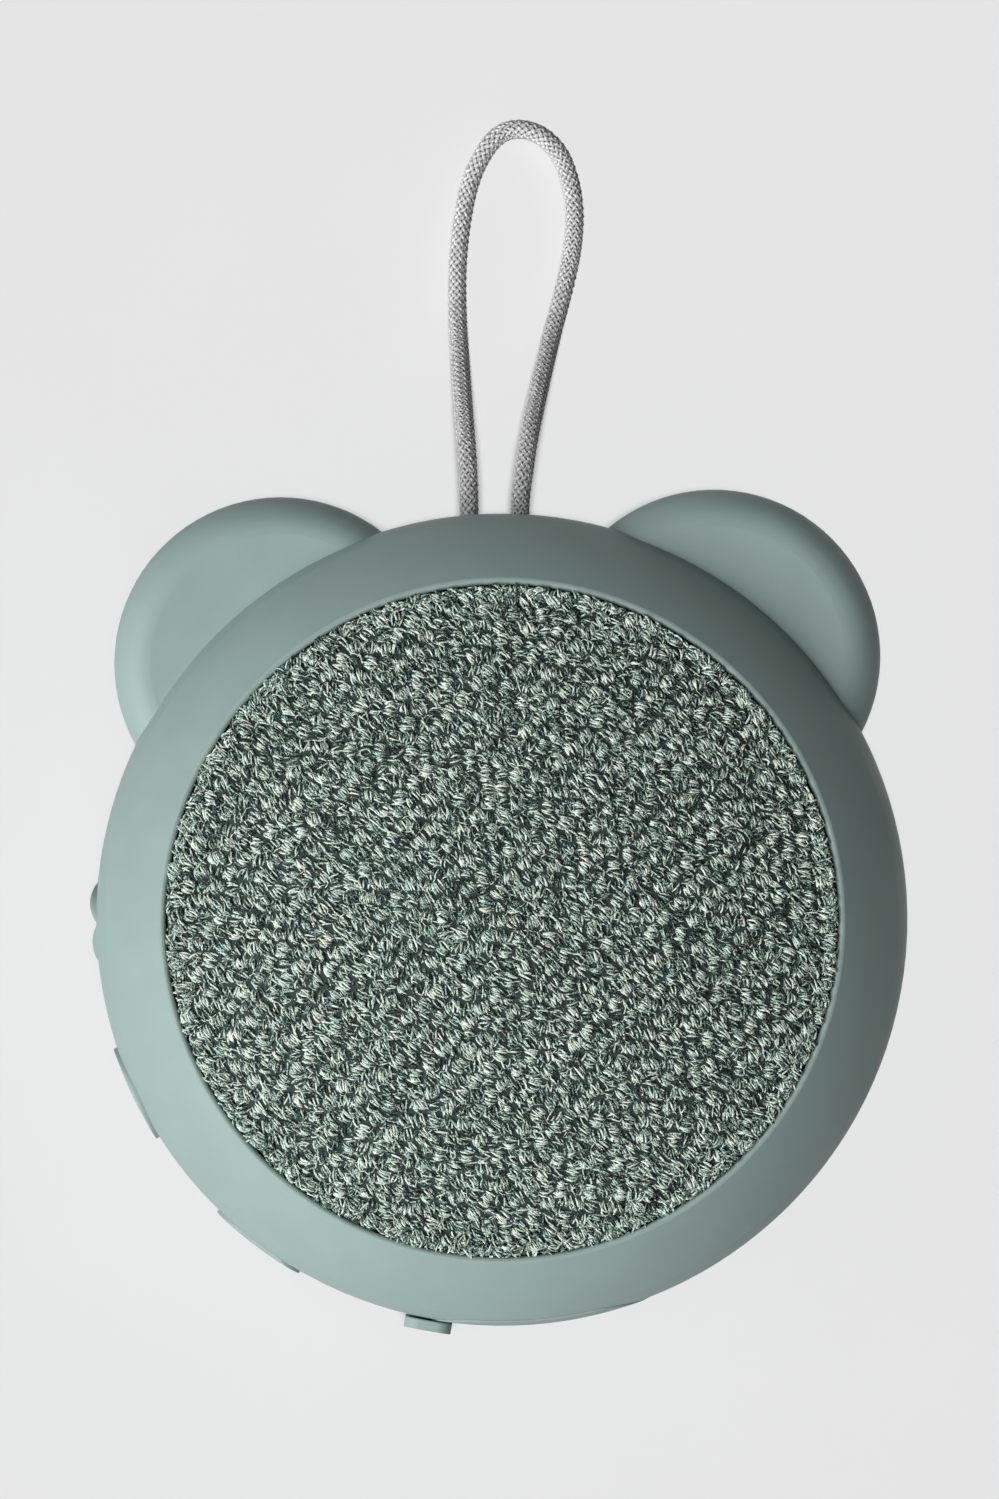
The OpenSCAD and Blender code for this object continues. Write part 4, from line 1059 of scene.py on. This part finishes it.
    def facing(self, tree: GeometryTree, kind: Tuft, normal: Socket, seed: Socket) -> Socket:
        """Turns each strand upright on the cloth, with its tuft and a little astray, and bowed outwards.

        Args:
            tree: The tree that it belongs to.
            kind: The kind of tuft.
            normal: The direction that the cloth faces.
            seed: The seed of the stray angle.

        Returns:
            The rotation's socket.
        """
        stray = tree.size("stray", kind.stray)
        upright = tree.add("FunctionNodeAlignRotationToVector", {"axis": "Z"}, {"Vector": normal}).outputs[0]
        angle = tree.plus(tree.kept("turn"), tree.times(stray, tree.chance(-1.0, 1.0, seed)))
        angle = tree.plus(angle, tree.times(tree.maths("LESS_THAN", tree.kept("side"), 0.0), math.pi))
        about = tree.add("FunctionNodeAxisAngleToRotation", None, {
            "Axis": (0.0, 0.0, 1.0), "Angle": angle}).outputs[0]
        return tree.add("FunctionNodeRotateRotation", {"rotation_space": "LOCAL"}, {
            "Rotation": upright, "Rotate By": about}).outputs[0]

    def tufts(self, kind: Tuft) -> GeometryTree:
        """The tree that sets one kind of tuft on the cloth, in rows or round its edge.

        Args:
            kind: The kind of tuft.

        Returns:
            The tree.
        """
        tree = GeometryTree(kind.name)
        seed = tree.count("seed", kind.seed)
        seeds = [tree.plus(seed, k) for k in range(self.draws)]
        spots = self.edging(tree, kind) if kind.round_edge else self.lattice(tree, kind, seed)
        spots, normal = self.laid(tree, self.bundled(tree, kind, spots, seeds))
        spots = tree.keep(spots, "tint", tree.chance(0.0, 1.0, seeds[4]))
        spots = tree.keep(spots, "hue", tree.chance(0.0, 1.0, seeds[9]))
        side = tree.kept("side")
        slumped = tree.minus(1.0, tree.times(tree.times(side, side), self.slump))
        bowed = tree.plus(self.inner_bow, tree.times(tree.maths("ABSOLUTE", side), self.outer_bow))
        scale = tree.combined(tree.chance(*self.lengths, seeds[6]),
                              tree.times(bowed, tree.chance(*self.bows, seeds[7])), slumped)
        bundles = tree.add("GeometryNodeInstanceOnPoints", None, {
            "Points": spots, "Instance": self.strand(tree, kind),
            "Rotation": self.facing(tree, kind, normal, seeds[5]), "Scale": scale}).outputs[0]
        tree.close(bundles, kind.finish.build())
        return tree

    def strand(self, tree: GeometryTree, kind: Tuft) -> Socket:
        """One short strand that arches up out of the cloth and back into it.

        Args:
            tree: The tree that it belongs to.
            kind: The kind of tuft.

        Returns:
            The strand's mesh socket.
        """
        length, girth, rise, curl = tree.sizes(kind, "length", "girth", "rise", "curl")
        half = tree.times(length, 0.5)
        line = tree.add("GeometryNodeCurvePrimitiveLine", None, {
            "Start": tree.combined(tree.times(half, -1)), "End": tree.combined(half)}).outputs[0]
        line = tree.add("GeometryNodeResampleCurve", None, {"Curve": line, "Count": kind.knots}).outputs[0]
        factor = tree.add("GeometryNodeSplineParameter").outputs["Factor"]
        across = tree.minus(tree.times(factor, 2), 1)
        arch = tree.minus(1, tree.times(across, across))
        lift = tree.minus(tree.times(arch, self.arch), self.dip)
        line = tree.moved(line, Offset=tree.combined(y=tree.times(curl, arch), z=tree.times(rise, lift)))
        taper = tree.plus(self.thin_end, tree.times(arch, self.thick_middle))
        return tree.tube(line, self.strand_sides, tree.times(girth, 0.5), taper, kind.capped)

    def build(self) -> None:
        ground = self.backing()
        yarns = [self.tufts(kind).settle(ground, kind.name) for kind in self.kinds]
        for piece in (ground, *yarns):
            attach(piece, "housing")
        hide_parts("grille_fabric")
        dress(BLACK_PLATE, "grille_plate")
        dress(ADHESIVE, "grille_ring")
        log.info("cloth: %s faces of yarn", [len(piece.data.polygons) for piece in yarns])


class Dressed:
    """A sub-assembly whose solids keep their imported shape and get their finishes."""

    outfits: tuple[tuple[Finish | str, ...], ...] = ()

    def build(self) -> None:
        """Dresses the solids."""
        for finish, *names in self.outfits:
            dress(finish, *names)


class Housing(Dressed):
    """The two mouldings with the ears, their seal, base pad and screws."""

    outfits = ((SAGE, "front_housing"), (SAGE_BACK, "rear_cover"), (DARK_RUBBER, "seal_ring"),
               (PAD_RUBBER, "base_pad"), (SCREW_STEEL, "housing_screws"))


class Controls(Dressed):
    """The keys on the rim and the switches behind them."""

    outfits = ((SAGE_KEYS, "volume_rocker", "play_button", "mode_button"),
               (BRACKET_PLASTIC, "switch_bracket"), (SCREW_STEEL, "bracket_screws"),
               (FLEX_FILM, "switch_flex"), (PORT_STEEL, "tact_switches"))


class Ports(Dressed):
    """The soft flap and the two sockets under it."""

    outfits = ((SAGE_RUBBER, "port_flap"), (PORT_STEEL, "usb_port"), (CHIP_PLASTIC, "audio_jack"))


class Driver(Dressed):
    """The full-range driver behind the grille."""

    outfits = ((ZINC_STEEL, "driver_basket", "top_plate", "yoke"), (FERRITE, "magnet"),
               (DARK_RUBBER, "driver_gasket"), (SCREW_STEEL, "driver_screws"), (BRASS, "driver_terminals"),
               (SPIDER_CLOTH, "spider"), (SURROUND_RUBBER, "surround"), (CONE_PULP, "cone", "dust_cap"),
               (COIL_COPPER, "voice_coil"))


class Electronics(Dressed):
    """The main board with its parts, the status light and the leads."""

    outfits = ((BOARD_GREEN, "main_board"), (SCREW_STEEL, "board_screws"), (PORT_STEEL, "wireless_module"),
               (CHIP_PLASTIC, "amplifier_chip", "board_parts"),
               (SOCKET_PLASTIC, "speaker_socket", "battery_socket", "status_led"),
               (CLEAR_PIPE, "light_pipe"), (CELL_FOIL, "battery_cell"), (ADHESIVE, "battery_pad"),
               (RED_WIRE, "battery_lead"), (BLACK_WIRE, "speaker_lead"))


def main() -> None:
    """Builds the studio and the speaker's pieces in order."""
    logging.basicConfig(level=logging.INFO, format="%(name)s: %(message)s")
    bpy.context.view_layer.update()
    studio = Studio()
    studio.camera()
    HangingLoop(studio).build()
    studio.lights(studio.floor())
    WovenFront().build()
    for assembly in (Housing(), Controls(), Ports(), Driver(), Electronics()):
        assembly.build()


if __name__ == "__main__":
    main()
